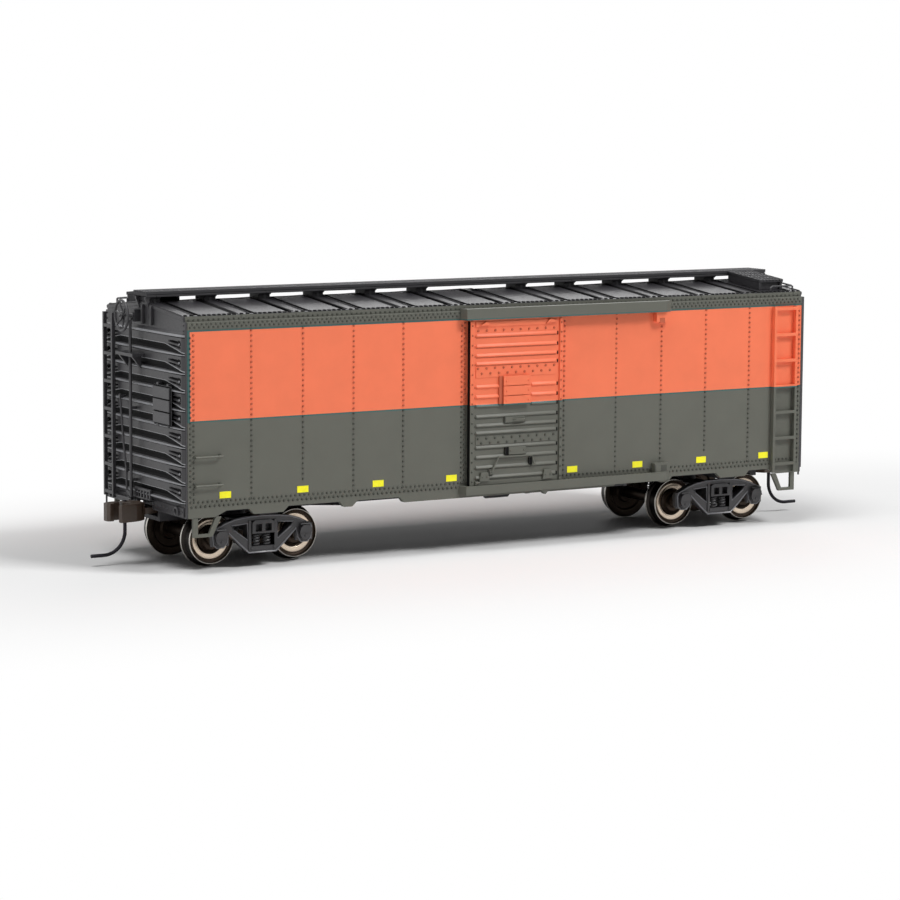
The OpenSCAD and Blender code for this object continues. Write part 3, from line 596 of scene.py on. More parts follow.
def drawn_steel(name, shade, low, high):
    """Drawn or rolled steel: streaks 0.2 mm apart along the metal, and a dull shine."""
    material, tree, scaled = start_material(name)
    stretched = add_node(tree, "ShaderNodeVectorMath", {"operation": "MULTIPLY", 1: (0.15, 1, 1)},
                         {0: (scaled, "Vector")})
    tint = uneven_colour(tree, stretched, None, tuple(shade), 1.5, 0.12)
    bump, gloss = skin(tree, stretched, 0.2, 0.25, low, high)
    return end_material(material, tree, {"Metallic": 1.0}, tint, bump, gloss)


def floor_boards():
    """Moulded load floor: dark plastic with plank joints every 2.6 mm, matt and a little dusty."""
    material, tree, scaled = start_material("etched_floor_styrene")
    axes = add_node(tree, "ShaderNodeSeparateXYZ", None, {"Vector": (scaled, "Vector")})
    plank = add_node(tree, "ShaderNodeMath", {"operation": "PINGPONG", 1: 1.3}, {0: (axes, "X")})
    joint = add_node(tree, "ShaderNodeMapRange",
                     {"From Min": 0.0, "From Max": 0.14, "To Min": 0.35, "To Max": 1.0},
                     {"Value": (plank, 0)})
    shaded = add_node(tree, "ShaderNodeVectorMath",
                      {"operation": "SCALE", 0: linear("#4A443B")}, {"Scale": (joint, "Result")})
    tint = uneven_colour(tree, scaled, shaded, None, 4, 0.12)
    bump, gloss = skin(tree, scaled, 0.3, 0.25, 0.55, 0.7)
    return end_material(material, tree, {"IOR": 1.55}, tint, bump, gloss)


made_finishes = {}


def finish(make, *values):
    """One copy of each material, made when it is first wanted."""
    key = (make.__name__, *values)
    if key not in made_finishes:
        made_finishes[key] = make(*values)
    return made_finishes[key]


def refinish(nodes, material, round_by=0.05):
    """Gives CAD nodes that stay in view their material, and rounds their moulded edges."""
    for name in nodes:
        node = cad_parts[name]
        node.data.materials.clear()
        node.data.materials.append(material)
        weld = node.modifiers.new("Weld", "WELD")
        weld.merge_threshold = 0.000005
        edges = node.modifiers.new("Edges", "BEVEL")
        edges.width = round_by / 1000
        edges.limit_method = "ANGLE"
        edges.angle_limit = math.radians(35)


# ---- the sides ----

RISE = 1.4                              # height of the sides' rivets against a plain one
LOW_RISE = 0.95                         # and of those that the open door passes over
THIN = 0.1                              # thickness of plates and feet laid on a side


def steps_between(start, end, pitch):
    """Evenly spaced places from start to end, about a pitch apart."""
    count = max(1, round((end - start) / pitch))
    return [start + (end - start) * i / count for i in range(count + 1)]


def sill_edge():
    """Bottom edge of a side from -X to +X, with the stretches that are cut up."""
    half = []
    for low, high, chamfer in ((-28, -18.7, 1.2), (-14.7, -3.7, 1.2), (4.7, 9.5, 2.4)):
        x0, x1 = BOLSTER_X + low, BOLSTER_X + high
        half += [(x0 - 1, SILL), (x0, SILL + 1.1), (x1, SILL + 1.1), (x1 + chamfer, SILL)]
    return [(-x, z) for x, z in reversed(half)] + half


def side_shape():
    """Straps, strips, rivets and blank plates of the right side."""
    pitch = bpy.context.scene.boxcar_detail.rivet_pitch * 1000
    shape = Shape()
    strip = FACE - 0.07
    fascia = strip - 0.06
    edge = SIDE_HALF - 0.05
    # Sill strip, and the strip below the roof
    shape.prism([(-edge, SILL + 2), (-edge, SILL), *sill_edge(), (edge, SILL), (edge, SILL + 2)],
                FACE, strip, on_side)
    shape.box((-edge, fascia, RAIL + 45.75), (edge, FACE, TOP - 0.05))
    # Every rivet of the side is in the darker paint: painted shade.
    # Two staggered rows of rivets on each: depth, height, distance from the ends, width
    for y, z, inset, size in ((strip, 12.45, 0.7, 1.15), (FACE, 13.3, 1.2, 1.15),
                              (fascia, 46.15, 0.5, 1.1), (fascia, 46.75, 1, 1.1)):
        shape.rivets([(x, y, RAIL + z)
                      for x in steps_between(-edge + inset, edge - inset, pitch)],
                     OUT_RIGHT, 2, size)
    # Panel seams: one column of rivets each
    rows = steps_between(SILL + 3.1, RAIL + 45.2, pitch)
    for seam in (24.75, 35.75, 46.75, 57.75):
        for x in (-seam, seam):
            clear = [z for z in rows if seam != 46.75 or z > RAIL + 15.4]
            shape.rivets([(x, FACE, z) for z in clear], OUT_RIGHT, 2, 1.08,
                         LOW_RISE if x == 24.75 else RISE)
    # Door posts and corner posts: two staggered columns
    for x, step in ((-11.57, 0), (-10.88, 0.5), (12.3, 0), (-70.55, 0), (-69.85, 0.5),
                    (70.55, 0), (69.85, 0.5)):
        shape.rivets([(x, FACE, z + step * pitch) for z in rows[:-1]], OUT_RIGHT, 2, 1.15,
                     LOW_RISE if x == 12.3 else RISE)
    for x0, x1 in ((-71.05, -69.4), (69.4, 71.05)):
        shape.box((x0, FACE - 0.03, SILL + 2), (x1, FACE, RAIL + 45.75))
    # Feet of the grab irons, in the darker paint as painted shade
    low, high = span("right_side_grabs")
    for x in (low.x + 0.25, high.x - 0.25):
        for z in (low.z + 0.2, high.z - 0.2):
            shape.box((x - 0.3, FACE - THIN, z - 0.35), (x + 0.3, FACE, z + 0.35), 2)
    # Dark patches in the darker paint on the door stops of the two tracks: painted shade
    stop = FACE - 1.34
    for x0, z0, x1, z1 in ((34.4, 43.75, 35.6, 44.75), (33.68, 13.3, 33.95, 14.8),
                           (35.2, 13.5, 36.6, 14.7)):
        shape.box((x0, stop, z0), (x1, stop + 0.2, z1), 2)
    # Blank plates along the sill
    for x in (-63.3, -46.8, -30.3, -13.8, 14.4, 30.2, 46.0, 61.8):
        shape.box((x - 1.2, FACE - 0.08, RAIL + 13.75), (x + 1.2, FACE, RAIL + 15.0), 1)
    # Bracket below the lower door track
    shape.prism([(5.89, RAIL + 11.12), (7.08, RAIL + 10.03), (8.01, RAIL + 10.98)],
                FACE - 1.7, FACE - 0.3, on_side)
    return shape


# ---- doors ----

DOOR_RIBS = [42.16, 40.1, 38.23, 36.6, 32.1, 30.1, 28.3, 26.2, 24.4, 22.95, 20.1, 18.15, 16.15,
             14.15]                     # heights above the rail
SHORT_RIBS = DOOR_RIBS[4:7]             # those that the placard interrupts


def door_shape():
    """The right door: two pressed panels, riveted bands, placard, latch gear and rollers."""
    shape = Shape()
    x0, x1 = DOOR_LOW.x, DOOR_HIGH.x
    face = DOOR_FACE
    shape.box((x0, face, DOOR_Z0), (x1, DOOR_BACK, DOOR_Z1))
    shape.box((x0 + 0.6, face, DOOR_LOW.z), (x1 - 0.6, DOOR_BACK, DOOR_Z0 + 0.05))
    shape.box((x0 + 0.6, face, DOOR_Z1 - 0.05), (x1 - 0.6, DOOR_BACK, DOOR_HIGH.z))
    # Bare back of the moulding, which the spray does not reach
    shape.box((x0 + 0.05, DOOR_BACK - 0.1, DOOR_Z0 + 0.05),
              (x1 - 0.05, DOOR_BACK + 0.01, DOOR_Z1 - 0.05), 3)
    # Edge posts and rails
    shape.box((x0, face - 0.35, DOOR_Z0 + 0.2), (x0 + 0.9, face, DOOR_Z1 - 0.2))
    shape.box((x1 - 0.6, face - 0.35, DOOR_Z0 + 0.2), (x1, face, DOOR_Z1 - 0.2))
    shape.box((x0 + 1.3, face - 0.2, RAIL + 43.9), (x1 - 1.2, face, RAIL + 44.9))
    shape.box((x0 + 1.3, face - 0.2, RAIL + 12.7), (x1 - 1.2, face, RAIL + 13.5))
    # Bands between the pressed panels
    left, right = x0 + 1.4, x1 - 1.25
    for low, high in ((33.9, 36.15), (20.65, 22.3)):
        shape.box((left, face - 0.12, RAIL + low), (right, face, RAIL + high))
    # Pressed ribs; the middle ones stop at the placard
    stretches = [(left, right, z) for z in DOOR_RIBS if z not in SHORT_RIBS]
    for z in SHORT_RIBS:
        stretches += [(left, -3.3, z), (3.8, right, z)]
    for a0, a1, z in stretches:
        shape.ridge(a0, a1, RAIL + z, 0.42, -0.3, face)
    # Rivets of the top rail, the bands and the posts, in the darker paint as painted shade
    for depth, z, start, end, pitch in ((0, 43.15, -8.4, 9.2, 1.95), (0.12, 35.75, -8.5, 9.2, 1.96),
                                        (0.12, 34.75, -7.6, 8.2, 1.96),
                                        (0.12, 21.9, -8.4, 9.2, 1.9), (0.12, 21.0, -7.6, 8.2, 1.9)):
        shape.rivets([(x, face - depth, RAIL + z) for x in steps_between(start, end, pitch)],
                     OUT_RIGHT, 1, 1.2)
    for x in (x0 + 0.45, x1 - 0.3):
        shape.rivets([(x, face - 0.35, z) for z in steps_between(DOOR_Z0 + 1, DOOR_Z1 - 1, 1.95)],
                     OUT_RIGHT, 1, 0.9)
    # Painted shade: a near-black line on the left edge of the moulding, dark notches where the ribs
    # end at both sides, and a dark strip under each long rib
    shape.box((x0 - 0.02, face - 0.3, DOOR_Z0 + 0.1), (x0 + 0.04, DOOR_BACK, DOOR_Z1 - 0.1), 2)
    for z in DOOR_RIBS:
        shape.box((right + 0.05, face - 0.06, RAIL + z - 0.45),
                  (right + 0.4, face, RAIL + z + 0.3), 2)
        shape.box((left - 0.3, face - 0.06, RAIL + z - 0.35),
                  (left - 0.05, face, RAIL + z + 0.1), 1)
        if z not in SHORT_RIBS:
            shape.box((left, face - 0.05, RAIL + z - 0.5), (right, face, RAIL + z - 0.28), 1)
    # Painted shadow round the placard, the handle plate, the small board and the lever's ends, darker
    # beside the small board and the lever's right end
    for a0, b0, a1, b1 in ((-3.7, 28.1, -2.85, 34.1), (-2.4, 24.7, 2.4, 26.1),
                           (-1.7, 18.3, 2.6, 20.1), (-6.0, 14.6, -4.9, 15.7),
                           (3.8, 15.8, 4.9, 16.9)):
        shape.box((a0, face - 0.43, RAIL + b0), (a1, face, RAIL + b1), 1)
    for a0, b0, a1, b1 in ((-2.2, 18.3, -1.5, 20.0), (3.35, 16.1, 4.0, 17.6)):
        shape.box((a0, face - 0.47, RAIL + b0), (a1, face, RAIL + b1), 2)
    # Placard of three boards on two battens
    for x in (-2.5, 2.2):
        shape.box((x, face - 0.55, RAIL + 28.4), (x + 0.8, face, RAIL + 33.9))
    for low, high in ((28.3, 30.1), (30.25, 32.05), (32.2, 34.05)):
        shape.box((-2.9, face - 0.85, RAIL + low), (3.4, face - 0.5, RAIL + high))
    for x in (-2.3, 2.8):
        shape.rivets([(x, face - 0.85, RAIL + z) for z in (29.2, 31.15, 33.1)],
                     OUT_RIGHT, size=0.7)
    # Handle plate with a bar, and the small board below it
    shape.box((-2.2, face - 0.45, RAIL + 24.9), (2.2, face, RAIL + 25.9))
    shape.tube([(-0.5, face - 0.45, RAIL + 25.4), (-0.13, face - 0.95, RAIL + 25.4),
                (1.74, face - 0.95, RAIL + 25.4), (2.1, face - 0.45, RAIL + 25.4)], 0.16)
    shape.box((-1.5, face - 0.65, RAIL + 18.45), (2.4, face, RAIL + 19.95))
    shape.rivets([(x, face - 0.65, RAIL + 19.2) for x in (-1.1, 2.0)], OUT_RIGHT,
                 size=0.7)
    # Latch lever
    lever = [(-5.43, 15.23), (-4.6, 16.75), (-3.84, 18.11), (3.85, 18.05), (4.34, 16.42)]
    shape.tube([(x, face - 0.62, RAIL + z) for x, z in lever], 0.2)
    for x, z in (lever[0], lever[-1]):
        shape.box((x - 0.4, face - 0.62, RAIL + z - 0.45), (x + 0.4, face, RAIL + z + 0.3))
    # Castings that carry the rollers at the bottom, and the hangers at the top
    for low, high, z0, z1 in ((-8.2, -5.9, 13.5, 15.2), (6.5, 8.85, 13.1, 14.9)):
        shape.prism([(low, RAIL + z0), (high, RAIL + z0), (high - 0.35, RAIL + z1),
                     (low + 0.35, RAIL + z1)], face, face - 0.6, on_side)
        shape.rivets([(low + 0.6, face - 0.6, RAIL + z0 + 0.9),
                      (high - 0.6, face - 0.6, RAIL + z0 + 0.9)], OUT_RIGHT, size=0.8)
    for points in (((-8.19, 44.13), (-5.67, 44.22), (-6.82, 44.96)),
                   ((7.11, 44.13), (9.93, 44.42), (8.04, 45.08))):
        shape.prism([(x, RAIL + z) for x, z in points], face, face - 0.55, on_side)
    shape.tube([(-9.2, face - 0.3, RAIL + 13.0), (-9.2, face - 0.75, RAIL + 13.3),
                (-8.4, face - 0.75, RAIL + 13.3), (-8.4, face - 0.3, RAIL + 13.0)], 0.13)
    return shape


# ---- ends ----

RIBS = 10
RIB_PITCH = 3.47
RIB_CRESTS = [SILL + 2.95 + i * RIB_PITCH for i in range(RIBS)]
FLAT_END = 16                           # station where the flat ends and the recess starts
STATIONS = 24                           # stations in one pitch of the ribs
COUPLER_GAP = (3.1, SILL + 1.5)         # half width and top of the coupler's opening
LEVEL = 0.42                            # how far the flats between the ribs stand out


def end_station(y, station):
    """Distance below a crest, and rise of the sheet, at a station of a rib's section: a sharp
    crest, a flat with a pair of darts beside each corner, and a lens-shaped recess."""
    side = abs(y)
    full = min(1, max(0, (17.2 - side) / 7.5)) ** 0.85
    opening = 0.25 + 1.4 * full         # from the recess's upper edge to the next crest
    crest = LEVEL + 0.5 * full
    if station == 0:
        return 0, crest
    if station == 1:
        return 0.14, crest - 0.08 * full
    start, end = 0.34, RIB_PITCH - opening
    if station <= FLAT_END:
        below = start + (end - start) * (station - 2) / (FLAT_END - 2)
        rise = LEVEL
        if 11.3 < side < 16.3:
            spread = (side - 11.3) / 5
            for centre, lean, broad in ((1.15, 0.2, 0.3), (1.78, 0.5, 0.14)):
                off = abs(below - centre - lean * spread) / (0.16 + broad * spread)
                rise = min(rise, LEVEL - 0.4 * max(0, 1 - off))
        return below, rise
    part = (station - FLAT_END) / (STATIONS - FLAT_END)
    low = LEVEL * (1 - full)
    if part < 0.55:
        return end + opening * part, LEVEL + (low - LEVEL) * part / 0.55
    return end + opening * part, low + (crest - low) * (part - 0.55) / 0.45


def end_point(y, row):
    """A point of the pressed sheet; row is (crest number, station)."""
    rib, station = row
    edge = min(1, max(0, (17.35 - abs(y)) / 0.6))
    if rib < 0:                         # above the top crest
        z, rise = RIB_CRESTS[-1] + 0.25 * station, end_station(y, 0)[1] * (1 - station / 3)
    else:
        below, rise = end_station(y, station)
        z = RIB_CRESTS[RIBS - 1 - rib] - below
        if rib == RIBS - 1 and station > 2:
            rise *= max(0, 1 - (station - 2) / 6)
            z = RIB_CRESTS[0] - 0.34 - (station - 2) * 0.13
    return on_end(y, z, SKIN_X + max(0.03, rise * edge))


def end_shape():
    """The plain end's pressed panel, at +X."""
    shape = Shape()
    gap, gap_top = COUPLER_GAP
    outline = [(-HALF_W, SILL), (-gap, SILL), (-gap, gap_top), (gap, gap_top), (gap, SILL),
               (HALF_W, SILL), (HALF_W, TOP), (ROOF_HALF, TOP), (ROOF_HALF, EAVE - 0.05),
               (0, RIDGE - 0.05), (-ROOF_HALF, EAVE - 0.05), (-ROOF_HALF, TOP), (-HALF_W, TOP)]
    shape.prism(outline, SKIN_X - 0.4, SKIN_X, on_end)
    inner = [(-16.3, SILL + 1), (-gap, SILL + 1), (-gap, gap_top), (gap, gap_top),
             (gap, SILL + 1), (16.3, SILL + 1), (16.3, TOP), (-16.3, TOP)]
    shape.prism(inner, SKIN_X - 1.2, SKIN_X - 0.4, on_end)
    ys = steps_between(-17.4, 17.4, 0.2)
    # Rows from the bottom up: below the lowest crest, between the crests, above the top one
    rows = [(RIBS - 1, k) for k in range(9, -1, -1)]
    rows += [(rib, k) for rib in range(RIBS - 2, -1, -1) for k in range(STATIONS - 1, -1, -1)]
    rows += [(-1, k) for k in (1, 2, 3)]

    def pressed(i, j):
        """Painted highlight along each crest and the recess's upper edge, and painted shade in the
        darts, just below each crest and inside the recess.
        """
        rib, station = rows[j]
        if rib < 0 or (rib == RIBS - 1 and station > 2):
            return 0
        if station in (0, 1, FLAT_END):
            return 2
        dart = 2 < station < FLAT_END and end_station(ys[i], station)[1] < LEVEL - 0.12
        return 1 if dart or station == 2 or FLAT_END < station < STATIONS - 1 else 0

    shape.field(ys, rows, end_point, pressed)
    # Rivets at the ends of the darts, each grey as painted highlight over a wide, low near-black ring
    # of painted shade, and rivets down the corner flanges
    out = (1, 0, 0)
    for side in (-1, 1):
        spots = [(SKIN_X + LEVEL - 0.02, side * 16.0, z - 1.55) for z in RIB_CRESTS[1:]]
        shape.rivets(spots, out, 1, 1.9, 0.4)
        shape.rivets(spots, out, 2, 0.95, 1.6)
        shape.rivets([(SKIN_X + 0.02, side * 16.9, z)
                      for z in steps_between(RIB_CRESTS[-1] + 1, TOP - 0.6, 1)], out, size=0.8)
    # End sill: a strip with its rivets, lower beside the coupler
    shape.box((SKIN_X, -16.9, SILL + 0.25), (SKIN_X + 0.25, -gap - 0.2, SILL + 2.0))
    shape.box((SKIN_X, gap + 0.2, SILL + 0.25), (SKIN_X + 0.25, 16.9, SILL + 2.0))
    for side in (-1, 1):
        shape.rivets([(SKIN_X + 0.25, side * y, SILL + 1.15)
                      for y in steps_between(4, 16.3, 1.55)], out, size=1.1)
        # Poling pockets
        shape.lathe([(0.1, 0), (0.9, 0), (0.9, 0.5), (0.62, 0.6), (0.5, 0.2), (0.1, 0.15)],
                    (SKIN_X + 0.1, side * 14.3, SILL + 1.1), (1, 0, 0), (0, 1, 0), 20)
    # Strip along the gable
    for side in (-1, 1):
        shape.prism([(0, RIDGE - 0.15), (side * ROOF_HALF, EAVE - 0.15),
                     (side * ROOF_HALF, EAVE - 0.75), (0, RIDGE - 0.75)],
                    SKIN_X, SKIN_X + 0.15, on_end)
    # Slotted bracket above the coupler
    bracket = rectangle(-4, RAIL + 11.9, 2.6, RAIL + 14.2)
    slots = [rectangle(y, RAIL + 12.4, y + 0.7, RAIL + 13.7) for y in (-3.5, -2.2, -0.9, 0.4, 1.4)]
    shape.prism([(-y, z) for y, z in bracket], SKIN_X + 0.5, SKIN_X + 1.0, on_end,
                [[(-y, z) for y, z in slot] for slot in slots])
    shape.box((SKIN_X, -2.6, RAIL + 11.9), (SKIN_X + 1.0, 4, RAIL + 12.2))
    return shape


def end_fittings():
    """Tack board, running board brackets and uncoupling lever, for the end at +X."""
    shape = Shape()
    # Tack board: three boards on two posts, on a near-black sheet behind them that is painted shadow
    for low, high in ((27.6, 29.7), (29.95, 32.1), (32.35, 34.5)):
        shape.box((SKIN_X + 1.0, 6.2, RAIL + low), (SKIN_X + 1.35, 13.2, RAIL + high))
    shape.box((SKIN_X + 0.85, 5.9, RAIL + 27.3), (SKIN_X + 1.0, 13.5, RAIL + 34.8), 1)
    for y in (7.1, 11.5):
        shape.box((SKIN_X + 0.05, y, RAIL + 26.9), (SKIN_X + 1.0, y + 0.8, RAIL + 35.2))
    # Brackets from the gable to the running board's end
    for y in (-2.1, 2.1):
        shape.prism([(SKIN_X, BOARD_HIGH.z - 1.1), (SKIN_X + 0.9, BOARD_HIGH.z - 1.1),
                     (SKIN_X + 0.9, BOARD_HIGH.z - 1.5), (SKIN_X, BOARD_HIGH.z - 3.6)],
                    y - 0.25, y + 0.25, on_side)
    # Uncoupling lever: a rod across the end sill, cranked to the coupler
    shape.tube([(SKIN_X + out, y, SILL + z) for out, y, z in
                ((1, -15.6, -0.9), (1, -15.6, 0.9), (1, -15.3, 1.2), (1, -4.6, 1.2),
                 (1.2, -4, 1.6))], 0.2)
    for y in (-14.6, -5.4):
        shape.box((SKIN_X + 0.2, y - 0.3, SILL + 0.85), (SKIN_X + 1.1, y + 0.3, SILL + 1.55))
    return shape


# ---- roof ----

def roof_rise(x, y):
    """Height of the roof's sheet against its plain slope: pans, channels and seam caps."""
    near = min(abs(x - seam) for seam in SEAM_X)
    side = abs(y)
    if near < 1.3:
        return -0.05
    pan = min(1, max(0, (near - 2.45) / 0.12)) * min(1, max(0, (side - 0.6) / 0.3))
    pan *= min(1, max(0, (ROOF_HALF - 0.8 - side) / 0.25))
    return -0.55 + 0.55 * pan


def roof_shape():
    """The roof: sheet with raised pans, seam caps, eave rivets and its hollow underside."""
    shape = Shape()
    half = ROOF_HIGH.x
    profile = [(-ROOF_HALF, TOP), (-ROOF_HALF, EAVE - 0.5), (0, RIDGE - 0.52),
               (ROOF_HALF, EAVE - 0.5), (ROOF_HALF, TOP), (15.7, TOP), (0, RIDGE - 1.2),
               (-15.7, TOP)]
    shape.prism(profile, -half, half, on_end)
    xs = {-half, half}
    for seam in SEAM_X:
        for off in (1.28, 1.3, 2.45, 2.57):
            xs |= {round(seam - off, 3), round(seam + off, 3)}
    xs = sorted(x for x in xs if abs(x) <= half)
    ys = sorted({s * y for s in (-1, 1) for y in
                 (0, 0.6, 0.9, 4, 8, 12, ROOF_HALF - 1.05, ROOF_HALF - 0.8, ROOF_HALF)})

    # The channels beside each seam cap are near black: painted shade.
    def hollow(i, j):
        near = min(abs((xs[i] + xs[i + 1]) / 2 - seam) for seam in SEAM_X)
        return 1 if 1.27 < near < 2.57 else 0

    shape.field(xs, ys, lambda x, y: (x, y, RIDGE - abs(y) * SLOPE + roof_rise(x, y)), hollow)
    lean = Vector((0, SLOPE, 1)).normalized()
    for side in (-1, 1):
        out = (0, side * lean.y, lean.z)
        y = ROOF_HALF - 0.4
        # Flange along the eave in the sides' paint, with its row of rivets
        shape.box((-half, side * ROOF_HALF - 0.02, TOP), (half, side * ROOF_HALF + 0.02, EAVE - 0.1),
                  2)
        shape.add([(x, side * (ROOF_HALF - dy), EAVE + dz) for x in (-half, half)
                   for dy, dz in ((0, -0.3), (0, -0.02), (0.78, 0.05), (0.78, -0.3))],
                  [(0, 1, 2, 3), (7, 6, 5, 4), (0, 4, 5, 1), (1, 5, 6, 2), (2, 6, 7, 3),
                   (3, 7, 4, 0)])
        # The rivets along the eave and beside the seams are near black: painted shade.
        for left, right in zip(SEAM_X, SEAM_X[1:]):
            shape.rivets([(x, side * y, RIDGE - y * SLOPE)
                          for x in steps_between(left + 2.2, right - 2.2, 1.05)], out, 1,
                         size=1.8)
        for seam in SEAM_X:
            for off in (-0.65, 0.65):
                shape.rivets([(seam + off, side * y, RIDGE - y * SLOPE)], out, 1, size=1.8)
            # Folded edges of the seam cap
            for x in (seam - 1.2, seam + 1.2):
                shape.tube([(x, side * 0.1, RIDGE - 0.02), (x, side * (ROOF_HALF - 0.9),
                            RIDGE - (ROOF_HALF - 0.9) * SLOPE - 0.02)], 0.14, 6)
            shape.box((seam - 0.9, side * ROOF_HALF - 0.1, EAVE - 0.75),
                      (seam + 0.9, side * ROOF_HALF + 0.1, EAVE - 0.05), 2)
        # The flange's rivets are in the darker paint: painted shade.
        shape.rivets([(x, side * ROOF_HALF, TOP + 0.4)
                      for x in steps_between(-half + 0.6, half - 0.6, 1.05)],
                     (0, side, 0), 3, size=1.1)
    return shape


def grating(shape, x0, x1, y0, y1, z_of, bars, pitch, thick, along="x"):
    """Open grating: bars one way, joined by rungs the other way, with a solid web below."""

    def slab(xa, xb, ya, yb, top, low):
        points = []
        for x in (xa, xb):
            for y in (ya, yb):
                points += [(x, y, z_of(y) + low), (x, y, z_of(y) + top)]
        shape.add(points, [(0, 1, 3, 2), (4, 6, 7, 5), (0, 4, 5, 1), (2, 3, 7, 6),
                           (0, 2, 6, 4), (1, 5, 7, 3)])

    slab(x0, x1, y0, y1, -thick * 0.62, -thick)
    for i in range(bars):
        if along == "x":
            y = y0 + (y1 - y0 - 0.3) * i / (bars - 1)
            slab(x0, x1, y, y + 0.3, 0, -thick * 0.8)
        else:
            x = x0 + (x1 - x0 - 0.3) * i / (bars - 1)
            slab(x, x + 0.3, y0, y1, 0, -thick * 0.8)
    if along == "x":
        for x in steps_between(x0, x1 - 0.55, pitch):
            slab(x, x + 0.55, y0 + 0.05, y1 - 0.05, -0.03, -thick * 0.8)
    else:
        for y in steps_between(y0, y1 - 0.55, pitch):
            slab(x0 + 0.05, x1 - 0.05, y, y + 0.55, -0.03, -thick * 0.8)


def walk_shape():
    """Running board: an open grating on its edge strips and saddles."""
    shape = Shape()
    top = BOARD_HIGH.z
    half = BOARD_HIGH.x
    under = top - 1.1
    grating(shape, -half, half, -3, 3, lambda y: top, 8, 2.32, 0.62)
    # Deep edge strip below the grating's edge, set in a little
    for side in (-1, 1):
        y0, y1 = sorted((side * 3.0, side * 2.5))
        shape.box((-half + 0.05, y0, under), (half - 0.05, y1, under + 0.4))
    shape.box((-half + 0.1, -2.7, under + 0.15), (half - 0.1, 2.7, top - 0.55))
    for seam in SEAM_X[:MIDDLE_SEAM] + SEAM_X[MIDDLE_SEAM + 1:]:
        shape.prism([(-2.7, under), (-1.9, under - 0.45), (-1.9, RIDGE - 0.8), (1.9, RIDGE - 0.8),
                     (1.9, under - 0.45), (2.7, under)], seam - 1.25, seam + 1.25, on_end)
        shape.box((seam - 0.25, -2.05, RIDGE - 0.5), (seam + 0.25, 2.05, under))
        shape.rivets([(seam, side * 2.92, under + 0.25) for side in (-1, 1)],
                     (0, -1, 0), size=0.8)
    return shape


def platform_shape():
    """The side platform at the plain end's right corner, with the walls that carry it."""
    shape = Shape()
    x0, x1 = SKIN_X - 9.0, SKIN_X - 2.9
    top = BOARD_HIGH.z

    def slant(y):
        return top - 0.1 - (abs(y) - 3) * SLOPE

    grating(shape, x0, x1, -14.3, -3.05, slant, 8, 2.32, 0.6, along="y")
    for x in (x0 + 0.1, x1 - 0.7):
        shape.prism([(-14.1, slant(14.1) - 0.55), (-14.1, RIDGE - 14.1 * SLOPE),
                     (-3, RIDGE - 3 * SLOPE), (-3, slant(3) - 0.55)], x, x + 0.6, on_end)
    shape.prism([(-13.6, slant(13.6) - 0.55), (-13.6, RIDGE - 13.6 * SLOPE),
                 (-13.1, RIDGE - 13.1 * SLOPE), (-13.1, slant(13.1) - 0.55)],
                x0 + 0.2, x1 - 0.2, on_end)
    return shape


def roof_grab_shape():
    """Bent wire grab iron on the roof's corner beside a side platform."""
    shape = Shape()
    z = RIDGE - 16 * SLOPE
    x = SKIN_X - 1.7
    path = [(x - 5.6, -15.9, z - 0.1), (x - 5.6, -15.9, z + 0.7), (x - 5.2, -15.9, z + 1.05),
            (x - 0.4, -15.9, z + 1.05), (x, -15.6, z + 1.05), (x, -15.2, z + 1.1),
            (x, -11.6, z + 1.45), (x, -11.2, z + 1.3), (x, -11.2, z + 0.4)]
    shape.tube(path, 0.19)
    shape.tube([(x, -15.9, z - 0.1), (x, -15.9, z + 1.05)], 0.19)
    return shape


# ---- trucks and wheels ----

